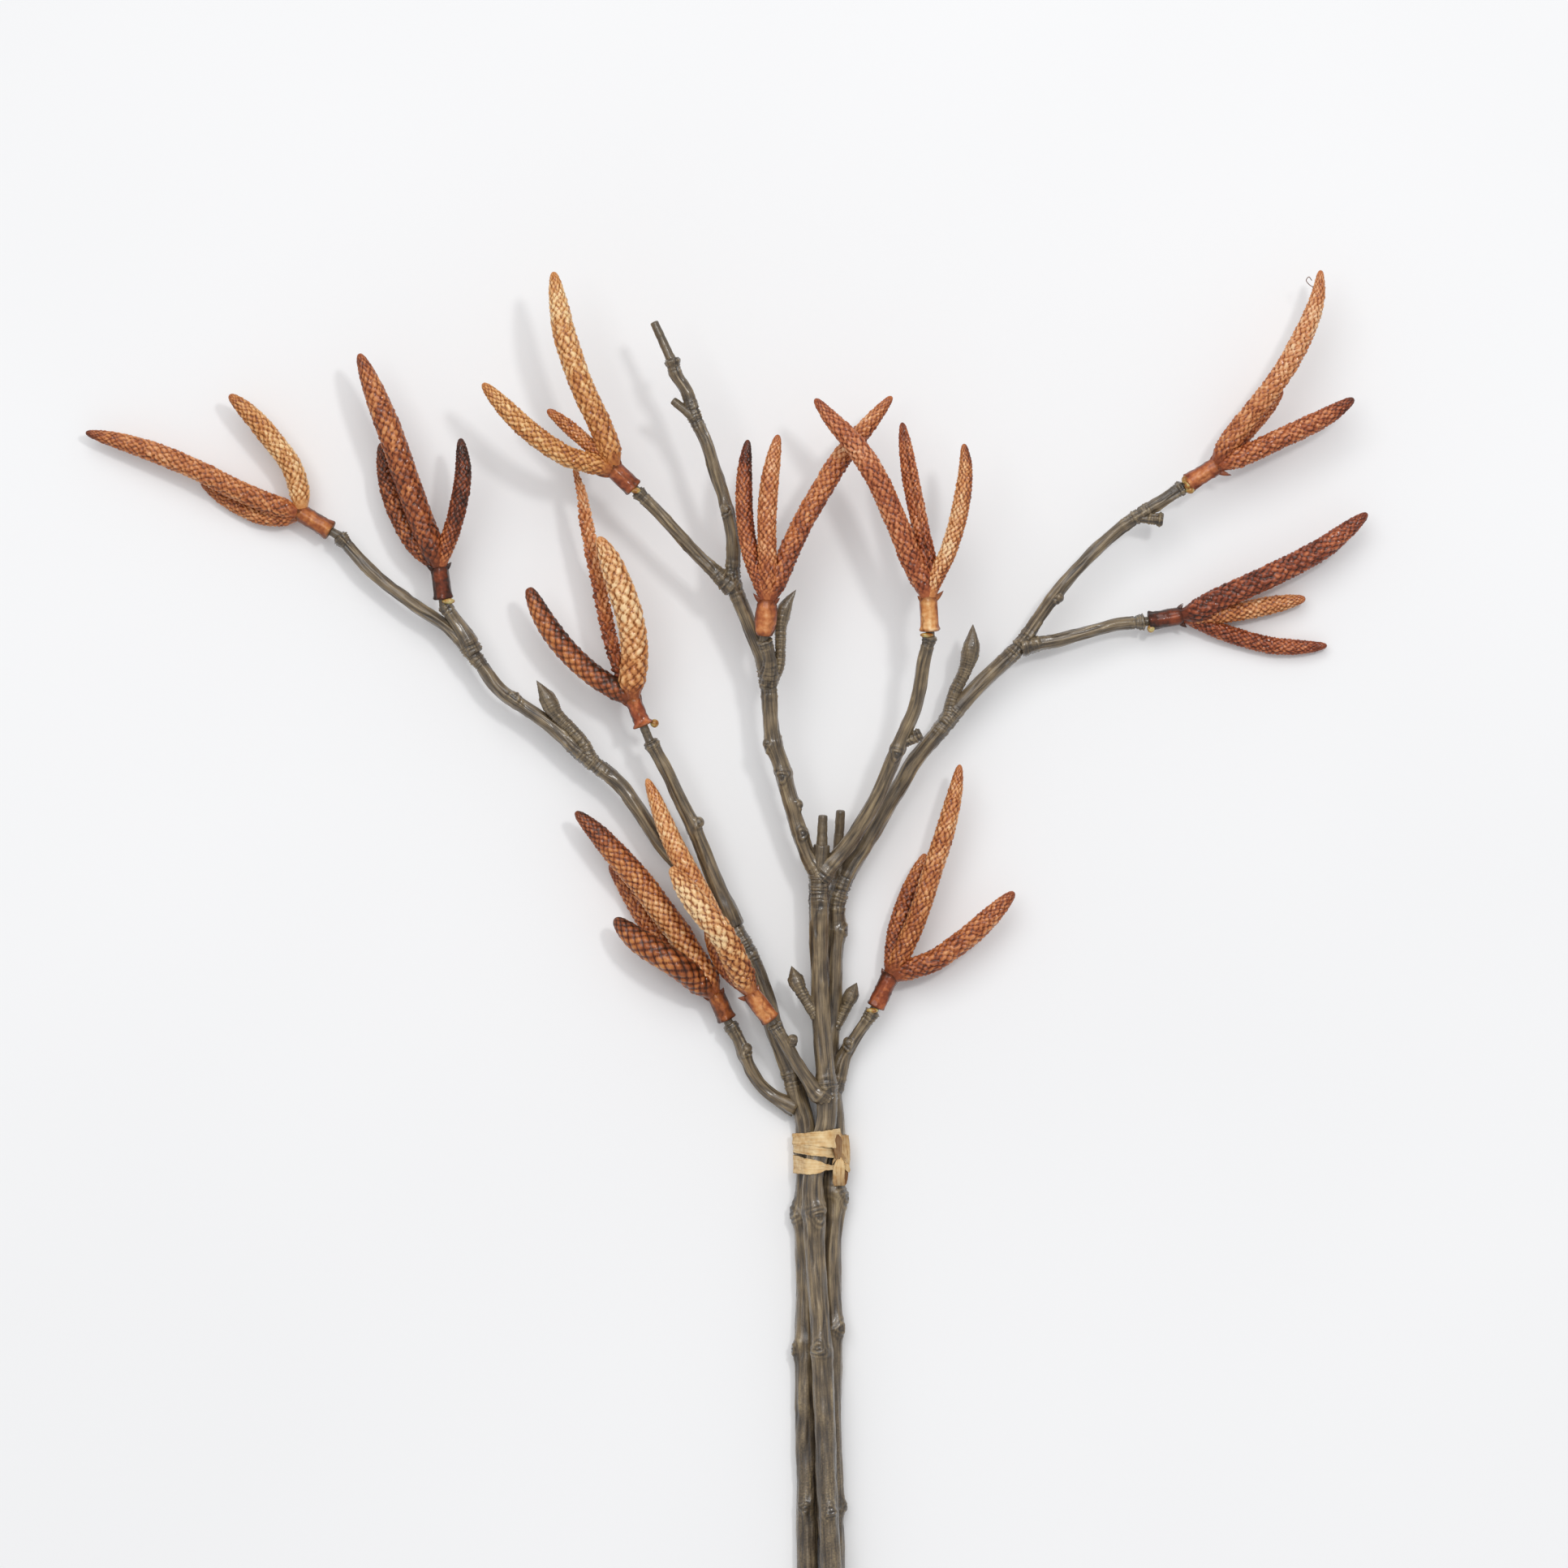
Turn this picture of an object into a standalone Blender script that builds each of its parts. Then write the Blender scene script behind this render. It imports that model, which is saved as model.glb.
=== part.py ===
"""A tied bunch of three moulded alder branches, lying on its back.

Each branch is one moulded stem with forks, buds and pegs. A cluster of three scaly catkins is
pushed on each peg by its tubular socket, and a raffia tie holds the three stems together. The
origin is under the middle of the tie, +X runs across the bunch and +Y towards the catkins.
"""

import bpy
import numpy as np

MM = 0.001
UP = np.array([0.0, 0.0, 1.0])

# Stems: how finely they are drawn, and the shapes that repeat on them
STEM_SIDES = 8
STEM_SPACING = 15.0
LOWER_SPACING = 50.0
ROOT_FLARE = 0.28
FLARE_FADES_IN = 3.0
COLLAR_RISE = 0.45
COLLAR_LENGTH = 3.2
PEG_DIAMETER = 3.5
PEG_SIDES = 7
PEG_SUNK = 3.0
BUD_SIDES = 7
KNOT_SIDES = 6

# Sockets: the tube at the root of each catkin cluster
SOCKET_SIDES = 8
SOCKET_RADIUS = 3.7
MOUTH_RADIUS = 4.0
BORE_RADIUS = 2.25
BORE_MOUTH_RADIUS = 2.7
CLOSED_END = 4.2
PEG_SHORT_OF_BORE = 0.6
ROOT_BEHIND_END = 2.0

# Catkins: a net of raised diamond scales, drawn about twice as large as life
SCALES_AROUND = 5
HALF_ROW = 5.2
NECK_RADIUS = 1.9
NECK_LENGTH = 9.0
GROOVE_RATIO = 0.8
SCALE_LEAN = 0.28
TIP_STARTS = 0.6

# Raffia tie: two flat wraps with a knot and two loops
RAFFIA_GAP = 0.4
UPPER_WRAP = (-2.4, 7.4)
LOWER_WRAP = (-8.6, -1.6)
WRAP_SLANT = 0.9
UPPER_THICKNESS = 0.7
LOWER_THICKNESS = 0.4
LOWER_WRAP_LIFT = 0.25
OUTER_FACE = 2
LOWER_STEM_HEIGHT = 5.5
TIE_STEM_RADIUS = 4.4
ARC_STEPS = 5
STRAND_SIDES = 6
STRAND_SPACING = 3.8

# Middle lines of the stems from the cut end up, in millimetres: across, along, up and thickness
LEFT_MAIN = [
    (-7.0, -300.0, 4.5, 9.0), (-5.4, -164.0, 4.7, 8.8), (-5.4, -141.0, 4.8, 8.7),
    (-6.1, -102.0, 4.9, 8.7), (-6.1, -70.0, 5.0, 8.6), (-5.8, -45.0, 5.1, 8.6),
    (-6.7, -25.0, 5.2, 8.5), (-5.9, -10.0, 5.25, 8.4), (-6.1, 0.0, 5.25, 8.4),
    (-6.4, 11.5, 5.4, 8.2), (-9.3, 22.0, 6.5, 8.1), (-11.8, 31.4, 7.2, 8.0),
    (-14.7, 39.0, 8.0, 7.9), (-18.6, 48.6, 9.0, 7.8), (-21.8, 60.2, 10.0, 7.7),
    (-25.6, 70.4, 11.0, 7.7), (-30.1, 80.0, 12.0, 7.6), (-34.2, 87.7, 12.8, 7.2),
    (-42.2, 97.6, 13.5, 6.5), (-51.8, 108.8, 14.0, 6.4), (-64.0, 122.6, 14.6, 6.3),
    (-71.7, 134.4, 15.3, 6.3), (-80.0, 145.6, 16.0, 6.2), (-87.7, 152.0, 16.4, 6.2),
    (-94.7, 157.4, 16.7, 6.1), (-107.8, 169.3, 17.0, 6.0), (-116.8, 175.4, 17.0, 5.9),
    (-126.7, 182.4, 16.6, 5.8), (-135.7, 194.2, 16.0, 5.6), (-146.2, 206.1, 15.0, 5.4),
    (-161.0, 216.3, 14.0, 5.3), (-176.0, 227.8, 12.4, 5.2),
]
MIDDLE_MAIN = [
    (4.5, -304.0, 14.0, 8.8), (3.8, -164.0, 14.3, 8.6), (2.6, -141.0, 14.2, 8.6),
    (1.3, -102.0, 14.1, 8.5), (-0.3, -70.0, 13.7, 8.5), (-2.2, -45.0, 13.8, 8.4),
    (-2.9, -25.0, 13.8, 8.4), (-3.2, -10.0, 14.1, 8.4), (-1.3, 0.0, 13.5, 8.3),
    (1.9, 10.6, 13.8, 8.2), (2.2, 24.0, 14.3, 8.0), (1.3, 35.0, 14.6, 7.9),
    (0.0, 52.2, 15.0, 7.8), (-0.6, 72.0, 16.0, 7.7), (-1.0, 86.4, 17.0, 7.7),
    (-1.0, 102.7, 18.4, 7.6), (-1.4, 109.4, 19.0, 7.2), (-5.1, 116.8, 19.8, 6.6),
    (-9.0, 127.4, 21.0, 6.4), (-12.5, 139.5, 22.5, 6.4), (-15.7, 152.0, 24.0, 6.4),
    (-18.6, 161.0, 25.0, 6.4), (-20.2, 173.0, 26.0, 6.3), (-20.8, 183.7, 27.0, 6.3),
    (-22.7, 193.6, 28.0, 6.2), (-26.6, 203.5, 29.0, 6.2), (-31.7, 216.3, 30.5, 6.1),
    (-34.6, 224.5, 32.0, 5.8), (-34.6, 238.4, 34.5, 5.4), (-36.5, 250.6, 36.0, 5.3),
    (-39.4, 261.4, 36.7, 5.2), (-41.9, 268.8, 37.2, 5.2), (-45.1, 279.4, 38.0, 5.1),
    (-49.9, 289.9, 38.0, 5.1), (-53.1, 299.8, 38.0, 5.1), (-57.0, 306.2, 38.0, 5.2),
    (-58.9, 312.6, 38.0, 5.4),
]
RIGHT_MAIN = [
    (5.5, -297.0, 4.5, 9.0), (4.8, -164.0, 4.8, 8.8), (4.8, -141.0, 4.9, 8.7),
    (3.7, -102.0, 5.0, 8.7), (4.2, -70.0, 5.1, 8.6), (3.8, -45.0, 5.2, 8.6),
    (4.5, -25.0, 5.25, 8.5), (4.8, -10.0, 5.25, 8.5), (5.1, 0.0, 5.25, 8.5),
    (5.1, 10.6, 5.25, 8.3), (3.8, 27.8, 5.6, 8.1), (3.2, 41.6, 6.0, 8.0),
    (4.2, 57.6, 6.6, 7.9), (4.8, 72.0, 7.2, 7.8), (5.4, 86.4, 8.0, 7.7),
    (5.8, 98.6, 8.8, 7.6), (8.3, 106.2, 9.4, 7.5), (12.2, 113.9, 10.0, 7.3),
    (16.3, 119.7, 10.5, 7.1), (21.1, 128.3, 11.0, 7.0), (26.2, 137.3, 11.7, 6.9),
    (31.7, 145.6, 12.4, 6.8), (35.8, 153.0, 13.0, 6.8), (41.0, 159.7, 13.6, 6.7),
    (46.7, 166.4, 14.1, 6.7), (51.5, 172.5, 14.5, 6.6), (57.0, 178.9, 15.0, 6.5),
    (64.3, 186.2, 15.0, 6.4), (70.4, 192.0, 15.0, 6.3), (77.4, 198.7, 15.0, 6.0),
    (81.0, 203.5, 15.2, 5.6), (85.8, 210.9, 15.6, 5.4), (91.2, 218.6, 16.2, 5.4),
    (96.6, 225.3, 17.0, 5.3), (102.4, 231.7, 17.3, 5.3), (110.1, 239.4, 17.7, 5.2),
    (118.7, 246.7, 18.0, 5.2), (127.7, 252.8, 18.0, 5.2), (135.4, 257.6, 18.0, 5.1),
]

# Side twigs, each from inside the stem that it grows from to just short of its own end
TWIG_B = [(-137.0, 196.8, 15.9, 5.1), (-140.5, 203.8, 16.8, 5.1), (-144.6, 210.2, 17.4, 5.0)]
TWIG_E = [
    (-34.6, 89.0, 13.0, 6.6), (-41.0, 104.6, 15.4, 6.4), (-45.8, 116.8, 17.0, 6.3),
    (-50.9, 129.0, 18.7, 6.1), (-55.7, 138.9, 20.2, 5.9), (-60.5, 149.4, 21.8, 5.6),
]
TWIG_K = [
    (-10.0, 17.4, 6.0, 6.0), (-17.9, 21.4, 6.4, 5.6), (-23.4, 25.9, 7.0, 5.4),
    (-27.5, 31.7, 8.0, 5.3), (-30.1, 37.8, 9.0, 5.2), (-32.6, 44.2, 10.0, 5.1),
]
TWIG_C = [
    (-34.6, 222.5, 31.8, 5.6), (-39.7, 226.9, 33.0, 5.5), (-48.6, 235.2, 34.4, 5.3),
    (-57.6, 245.1, 36.0, 5.2), (-66.6, 254.7, 37.2, 5.1),
]
TWIG_F = [(-20.8, 185.0, 27.5, 5.4), (-20.3, 194.0, 33.0, 5.1)]
TWIG_G = [
    (-0.6, 108.4, 18.8, 6.6), (3.5, 113.3, 19.8, 6.5), (9.9, 120.6, 21.0, 6.4),
    (16.3, 130.2, 23.6, 6.4), (22.1, 140.5, 26.0, 6.3), (25.3, 147.8, 27.7, 6.2),
    (28.2, 154.9, 29.3, 6.1), (31.0, 161.6, 31.0, 6.0), (33.6, 167.4, 32.5, 5.9),
    (36.5, 174.4, 34.2, 5.7), (38.4, 182.1, 36.0, 5.5), (40.0, 192.0, 38.2, 5.3),
]
TWIG_L = [
    (2.2, 21.0, 14.4, 5.6), (-1.6, 23.6, 16.4, 5.6), (-5.4, 28.8, 18.2, 5.3),
    (-9.6, 35.2, 19.5, 5.2), (-13.4, 41.6, 20.6, 5.1),
]
TWIG_J = [
    (79.0, 199.6, 15.0, 5.6), (84.0, 200.6, 14.7, 5.5), (92.5, 201.9, 14.0, 5.4),
    (103.4, 204.8, 12.9, 5.3), (115.5, 208.0, 11.3, 5.2),
]
TWIG_M = [
    (5.0, 24.0, 5.5, 5.6), (6.4, 29.4, 6.0, 5.5), (8.6, 37.1, 7.0, 5.3),
    (13.1, 44.5, 8.4, 5.1),
]

# Buds: a stalk that swells and closes in a point, with the width at its fullest
LEFT_BUD = [
    (-91.0, 155.2, 16.5), (-93.6, 161.0, 17.4), (-98.6, 167.0, 18.4), (-104.6, 173.0, 19.8),
    (-109.1, 181.0, 21.2), (-112.3, 186.2, 22.0),
]
FRONT_BUD = [
    (-20.6, 184.0, 27.0), (-16.8, 191.0, 29.0), (-16.1, 200.6, 31.0), (-15.7, 209.9, 32.0),
    (-13.8, 215.7, 33.0), (-9.9, 221.8, 34.0),
]
LOW_BUD = [
    (-0.8, 52.5, 15.0), (-4.2, 57.3, 16.0), (-6.6, 61.2, 16.6), (-9.6, 66.9, 17.0),
    (-11.8, 73.6, 17.4),
]
RIGHT_BUD = [
    (4.4, 47.4, 6.4), (8.4, 54.4, 7.6), (11.2, 60.5, 9.0), (14.1, 66.9, 10.0),
]
TALL_BUD = [
    (50.0, 170.6, 14.4), (52.4, 181.0, 15.8), (56.4, 189.4, 18.0), (58.9, 197.8, 19.8),
    (59.8, 208.3, 21.0),
]

# Bare pegs and short stubs: root, tip and thickness at each
TOP_PEG = ((-57.6, 309.0, 38.0), (-65.9, 327.0, 38.0), 4.0, 3.4)
TOP_STUB = ((-49.4, 289.0, 38.0), (-58.6, 296.2, 38.8), 4.4, 3.2)
FORK_KNUCKLE = ((-0.8, 108.0, 18.8), (0.3, 121.6, 20.6), 7.2, 6.6)
FORK_PEG = ((0.2, 119.6, 20.4), (0.6, 133.1, 22.0), 4.4, 3.8)
G_STUB = ((30.8, 161.0, 30.8), (39.4, 165.1, 31.4), 4.6, 4.0)
RIGHT_PEG = ((8.0, 105.0, 9.4), (6.2, 117.0, 10.8), 6.0, 4.8)
RIGHT_PEG_TIP = ((6.3, 115.0, 10.6), (7.7, 135.0, 14.0), 4.2, 3.8)
I_STUB = ((125.4, 250.6, 18.0), (134.7, 249.4, 18.4), 3.4, 2.6)

# Knots: where a small wart stands on a stem, the way it points and its width
LEFT_KNOTS = [
    ((-6.4, -24.6, 5.2), (-1.0, 0.0, 0.5), 4.4), ((-6.1, -78.0, 5.0), (-1.0, 0.1, 0.4), 4.4),
    ((-5.4, -141.0, 4.8), (-0.3, 0.2, 1.0), 4.0), ((-121.6, 179.0, 17.0), (0.4, 0.6, 0.8), 4.2),
    ((-50.9, 129.0, 18.7), (-0.1, 0.3, 1.0), 4.0), ((-30.6, 39.4, 9.2), (0.5, 0.6, 0.8), 3.8),
]
MIDDLE_KNOTS = [
    ((-2.9, -24.6, 13.8), (0.3, 0.1, 1.0), 4.4), ((-0.7, -77.0, 13.8), (-0.4, 0.0, 1.0), 4.4),
    ((2.6, -141.0, 14.2), (0.3, 0.1, 1.0), 4.2), ((-8.6, 126.0, 20.9), (0.3, 0.8, 0.8), 4.2),
    ((-15.0, 149.0, 23.7), (-0.2, 0.1, 1.0), 4.6), ((-18.6, 161.0, 25.0), (-1.0, 0.2, 0.4), 3.8),
    ((-36.9, 252.6, 36.0), (-0.3, 0.3, 1.0), 3.6), ((-12.0, 42.6, 20.4), (0.3, 0.9, 0.6), 3.6),
    ((29.4, 158.0, 30.0), (0.2, 0.1, 1.0), 4.4),
]
RIGHT_KNOTS = [
    ((4.6, -18.0, 5.25), (1.0, 0.0, 0.6), 4.4), ((4.2, -70.0, 5.1), (1.0, 0.0, 0.5), 4.2),
    ((4.8, -140.0, 4.9), (1.0, 0.0, 0.5), 4.0), ((11.2, 42.0, 7.8), (-0.2, 0.6, 0.9), 3.6),
    ((91.6, 219.4, 16.3), (0.9, -0.2, 0.5), 3.6), ((5.4, 88.0, 8.1), (1.0, 0.2, 0.4), 4.2),
]

# Catkin clusters: stem, socket mouth and closed end, bare peg showing, and three catkins.
# Each catkin has its width, the heights it passes through and its middle line, tip first.
CLUSTERS = {
    "a": ("left", (-193.6, 245.1, 10.5), (-206.7, 253.1, 9.6), 3.4, [
        (9.5, (8.0, 11.0, 12.4, 10.0), [
            (-290.6, 284.2), (-275.5, 280.3), (-260.5, 275.2), (-246.7, 269.4),
            (-232.0, 262.1), (-216.5, 255.6)]),
        (9.5, (15.0, 15.0, 14.0, 11.0), [
            (-233.6, 298.9), (-225.0, 290.9), (-216.0, 280.3), (-209.0, 270.4),
            (-206.2, 261.6)]),
        (8.0, (4.1, 4.1, 4.3, 7.0), [
            (-245.1, 264.6), (-229.8, 254.9), (-220.2, 250.8), (-212.6, 250.4)]),
    ]),
    "b": ("left", (-149.1, 218.2, 18.5), (-150.7, 231.4, 19.5), 2.0, [
        (11.0, (25.0, 25.0, 23.0, 20.6), [
            (-182.1, 314.9), (-174.7, 296.3), (-169.0, 281.6), (-163.5, 265.6),
            (-157.8, 249.6), (-153.0, 237.5)]),
        (8.6, (14.0, 14.0, 14.4, 17.6), [
            (-173.8, 280.0), (-171.5, 265.6), (-166.7, 250.9), (-160.0, 239.6),
            (-154.8, 234.6)]),
        (8.0, (24.0, 25.0, 24.0, 21.0), [
            (-142.1, 281.6), (-141.1, 267.8), (-143.0, 255.3), (-146.4, 242.9),
            (-149.0, 236.4)]),
    ]),
    "c": ("middle", (-73.6, 261.4, 38.0), (-82.3, 269.8, 39.0), 1.4, [
        (10.5, (41.0, 42.0, 42.0, 40.0), [
            (-105.3, 346.6), (-103.4, 334.7), (-101.1, 322.6), (-97.3, 310.4),
            (-92.5, 297.9), (-87.4, 287.4), (-83.8, 278.4)]),
        (9.3, (43.0, 44.0, 43.0, 40.4), [
            (-133.1, 302.7), (-125.8, 294.7), (-117.8, 286.7), (-108.8, 279.4),
            (-98.9, 273.6), (-89.4, 271.0)]),
        (7.0, (36.0, 35.4, 36.0, 38.0), [
            (-107.8, 292.5), (-101.4, 287.4), (-94.7, 281.6), (-87.4, 275.3)]),
    ]),
    "e": ("left", (-70.1, 168.3, 24.0), (-74.6, 179.2, 25.0), 6.4, [
        (9.3, (27.0, 24.0, 21.5, 21.5, 23.6), [
            (-97.3, 269.8), (-94.7, 260.5), (-92.5, 248.3), (-90.2, 236.2),
            (-87.0, 220.8), (-83.8, 205.1), (-80.0, 192.0), (-76.8, 184.4)]),
        (11.8, (34.0, 32.5, 31.5, 29.0, 26.0), [
            (-87.7, 242.6), (-82.9, 232.6), (-79.0, 222.1), (-75.5, 211.5),
            (-73.9, 201.6), (-73.6, 193.6), (-74.6, 185.0)]),
        (9.3, (21.0, 21.0, 21.4, 23.4), [
            (-115.5, 222.7), (-110.1, 211.5), (-103.4, 201.6), (-96.0, 193.6),
            (-88.6, 187.4), (-80.9, 182.6)]),
    ]),
    "f": ("middle", (-22.4, 203.8, 37.0), (-21.1, 218.2, 39.5), 1.6, [
        (8.0, (41.0, 40.6, 40.4, 40.0), [
            (-28.9, 280.6), (-30.0, 270.4), (-30.4, 258.2), (-29.7, 246.1),
            (-27.2, 233.6), (-23.7, 224.4)]),
        (8.6, (42.0, 43.0, 43.0, 41.0), [
            (-17.0, 282.6), (-18.9, 273.0), (-20.5, 262.4), (-21.4, 249.9),
            (-21.4, 237.8), (-21.1, 224.6)]),
        (10.0, (30.6, 31.6, 34.5, 39.6), [
            (27.8, 297.9), (19.8, 288.3), (13.1, 280.3), (6.7, 272.0), (0.3, 261.4),
            (-6.4, 249.9), (-12.2, 237.8), (-17.6, 225.0)]),
    ]),
    "g": ("middle", (42.6, 205.4, 40.3), (41.9, 219.2, 42.0), 1.8, [
        (10.3, (43.6, 47.0, 47.4, 46.4, 43.0), [
            (-2.6, 296.6), (4.2, 288.3), (10.9, 281.0), (16.6, 273.6), (22.4, 264.0),
            (27.2, 253.4), (31.4, 243.5), (35.2, 233.6), (39.9, 224.0)]),
        (8.0, (41.0, 41.0, 41.0, 42.0), [
            (31.7, 287.4), (33.3, 276.2), (35.2, 264.6), (37.4, 253.4), (39.4, 243.5),
            (41.6, 233.6), (42.1, 225.4)]),
        (8.0, (42.0, 44.0, 44.0, 43.0), [
            (56.0, 279.0), (56.6, 270.4), (55.4, 258.2), (52.8, 246.1), (49.3, 235.5),
            (44.4, 225.4)]),
    ]),
    "i": ("right", (144.6, 263.7, 18.0), (156.8, 271.4, 19.0), 1.8, [
        (10.0, (24.0, 24.6, 23.4, 20.6), [
            (196.8, 347.8), (195.8, 338.6), (193.3, 329.9), (188.8, 320.0), (183.4, 310.1),
            (177.3, 301.1), (171.2, 293.4), (165.1, 286.0), (159.4, 277.9)]),
        (9.3, (17.0, 18.6, 20.0, 19.8), [
            (210.2, 297.3), (200.3, 290.9), (190.4, 285.8), (180.5, 281.3),
            (171.5, 276.9), (162.6, 273.2)]),
        (8.0, (12.6, 13.0, 14.4, 17.4), [
            (185.0, 303.0), (178.4, 294.6), (170.0, 285.6), (161.4, 276.2)]),
    ]),
    "j": ("right", (129.3, 209.6, 9.7), (143.0, 211.8, 9.0), 1.6, [
        (10.5, (11.0, 12.8, 13.2, 10.4), [
            (215.7, 252.2), (207.0, 245.1), (197.1, 237.8), (185.9, 231.7), (176.0, 226.9),
            (165.1, 222.0), (155.2, 217.4), (148.2, 213.6)]),
        (8.5, (7.0, 7.0, 7.2, 8.6), [
            (191.4, 218.6), (180.5, 216.6), (169.6, 214.3), (159.7, 212.7),
            (149.2, 212.0)]),
        (8.0, (4.1, 4.1, 4.4, 7.4), [
            (200.0, 200.0), (189.4, 199.4), (177.3, 200.2), (166.1, 203.0),
            (156.2, 206.4), (147.6, 210.2)]),
    ]),
    "k": ("left", (-37.1, 52.2, 11.2), (-42.2, 62.9, 12.3), 1.8, [
        (11.0, (15.0, 15.4, 15.4, 14.4, 13.0), [
            (-97.0, 134.4), (-88.3, 125.8), (-79.4, 115.8), (-71.0, 106.2), (-63.0, 95.4),
            (-56.3, 86.4), (-50.9, 77.4), (-45.2, 69.0)]),
        (9.0, (5.4, 5.4, 6.0, 11.0), [
            (-83.6, 113.6), (-75.4, 101.6), (-67.9, 89.4), (-58.6, 77.4),
            (-48.0, 68.4)]),
        (11.0, (14.6, 18.0, 21.0, 14.6), [
            (-81.6, 92.2), (-73.6, 84.8), (-66.2, 79.7), (-57.9, 74.6), (-48.4, 67.4)]),
    ]),
    "l": ("middle", (-19.8, 52.2, 22.3), (-28.2, 63.4, 23.8), 1.8, [
        (9.0, (25.4, 24.4, 24.2, 25.4, 24.2), [
            (-68.8, 147.5), (-65.3, 138.9), (-61.8, 129.9), (-57.9, 121.0), (-53.4, 112.6),
            (-48.6, 104.0), (-40.6, 88.0), (-32.4, 70.4)]),
        (11.8, (33.6, 35.4, 35.0, 26.0), [
            (-59.2, 112.6), (-53.1, 103.7), (-46.7, 95.4), (-40.0, 87.4), (-35.2, 79.0),
            (-30.8, 69.4)]),
        (8.0, (16.6, 16.8, 18.4, 22.4), [
            (-44.8, 93.0), (-41.6, 81.6), (-37.6, 73.4), (-31.6, 67.2)]),
    ]),
    "m": ("right", (21.4, 57.3, 10.7), (27.8, 70.4, 12.0), 1.8, [
        (9.0, (18.0, 17.6, 17.0, 13.0), [
            (54.7, 153.0), (52.8, 142.1), (50.2, 131.5), (47.0, 120.6), (43.2, 109.1),
            (40.0, 98.6), (36.8, 89.9), (31.0, 77.0)]),
        (8.5, (7.6, 7.6, 8.0, 11.0), [
            (41.3, 117.8), (36.8, 107.2), (32.6, 96.6), (29.6, 86.4), (28.4, 76.8)]),
        (10.0, (13.0, 13.6, 14.0, 12.6), [
            (76.2, 102.7), (69.1, 95.4), (61.8, 88.3), (53.4, 81.6), (44.8, 75.8),
            (34.6, 72.0)]),
    ]),
}

# Loops of the tie's knot, at its right flank: across, along, up
SIDE_LOOP = [
    (9.8, -4.6, 9.8), (11.3, -1.4, 8.8), (11.4, 2.4, 8.7), (9.8, 5.4, 9.9), (8.0, 2.8, 11.2),
    (7.7, -0.8, 11.4), (7.2, -3.4, 11.9),
]
LOW_LOOP = [
    (9.4, -4.4, 10.0), (11.0, -7.6, 8.9), (10.8, -11.2, 8.8), (8.6, -13.2, 10.6),
    (6.4, -11.6, 11.6), (6.2, -8.6, 12.0), (6.6, -6.2, 12.4),
]
KNOT_HEART = [(6.6, -7.2, 13.0), (8.7, -5.6, 11.3), (10.3, -3.6, 9.6), (11.2, -1.6, 8.5)]

# Colours
STEM_BROWN = (0.155, 0.128, 0.090, 1.0)
CATKIN_COLOURS = {
    "a": (0.55, 0.26, 0.08, 1.0), "b": (0.27, 0.07, 0.03, 1.0), "c": (0.62, 0.33, 0.09, 1.0),
    "e": (0.58, 0.28, 0.08, 1.0), "f": (0.48, 0.15, 0.05, 1.0), "g": (0.38, 0.12, 0.05, 1.0),
    "i": (0.45, 0.14, 0.05, 1.0), "j": (0.28, 0.07, 0.03, 1.0), "k": (0.33, 0.12, 0.06, 1.0),
    "l": (0.58, 0.24, 0.07, 1.0), "m": (0.50, 0.18, 0.06, 1.0),
}
RAFFIA_STRAW = (0.72, 0.48, 0.25, 1.0)


def finish(name, colour, roughness):
    material = bpy.data.materials.new(name)
    material.use_nodes = True
    shader = material.node_tree.nodes["Principled BSDF"]
    shader.inputs["Base Color"].default_value = colour
    shader.inputs["Roughness"].default_value = roughness
    return material


def solid(name, rings, first_pole, last_pole, shift_diagonal=False):
    """A closed skin over rings of equal count, with a pole beyond each end ring.

    Rings are in millimetres. With shift_diagonal each square's split alternates, so that it joins
    the two corners whose ring and column numbers add up to an odd number.
    """
    count, sides = rings.shape[:2]
    points = np.concatenate([rings.reshape(-1, 3), [first_pole], [last_pole]])
    first, last = count * sides, count * sides + 1
    faces = []
    for side in range(sides):
        beside = (side + 1) % sides
        faces.append((first, beside, side))
        faces.append((last, (count - 1) * sides + side, (count - 1) * sides + beside))
        for ring in range(count - 1):
            a = ring * sides + side
            b = ring * sides + beside
            c = b + sides
            d = a + sides
            if shift_diagonal and (ring + side) % 2 == 0:
                faces.extend([(a, b, d), (b, c, d)])
            else:
                faces.extend([(a, b, c), (a, c, d)])
    mesh = bpy.data.meshes.new(name)
    mesh.from_pydata((points * MM).tolist(), [], faces)
    mesh.shade_smooth()
    return bpy.data.objects.new(name, mesh)


def unite(name, pieces, material):
    """One solid of pieces that grow out of each other, by one union."""
    body = pieces[0]
    body.name = name
    bpy.context.scene.collection.objects.link(body)
    if len(pieces) > 1:
        others = bpy.data.collections.new(name + "_pieces")
        bpy.context.scene.collection.children.link(others)
        for piece in pieces[1:]:
            others.objects.link(piece)
        union = body.modifiers.new("Union", "BOOLEAN")
        union.operation = "UNION"
        union.operand_type = "COLLECTION"
        union.collection = others
        union.solver = "EXACT"
        graph = bpy.context.evaluated_depsgraph_get()
        whole = bpy.data.meshes.new_from_object(body.evaluated_get(graph))
        body.modifiers.clear()
        body.data = whole
        for piece in pieces[1:]:
            bpy.data.objects.remove(piece)
        bpy.data.collections.remove(others)
    body.data.materials.clear()
    body.data.materials.append(material)
    return body


def route_length(points):
    legs = np.diff(np.array(points, float)[:, :3], axis=0)
    return np.concatenate([[0.0], np.cumsum(np.linalg.norm(legs, axis=1))])


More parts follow.
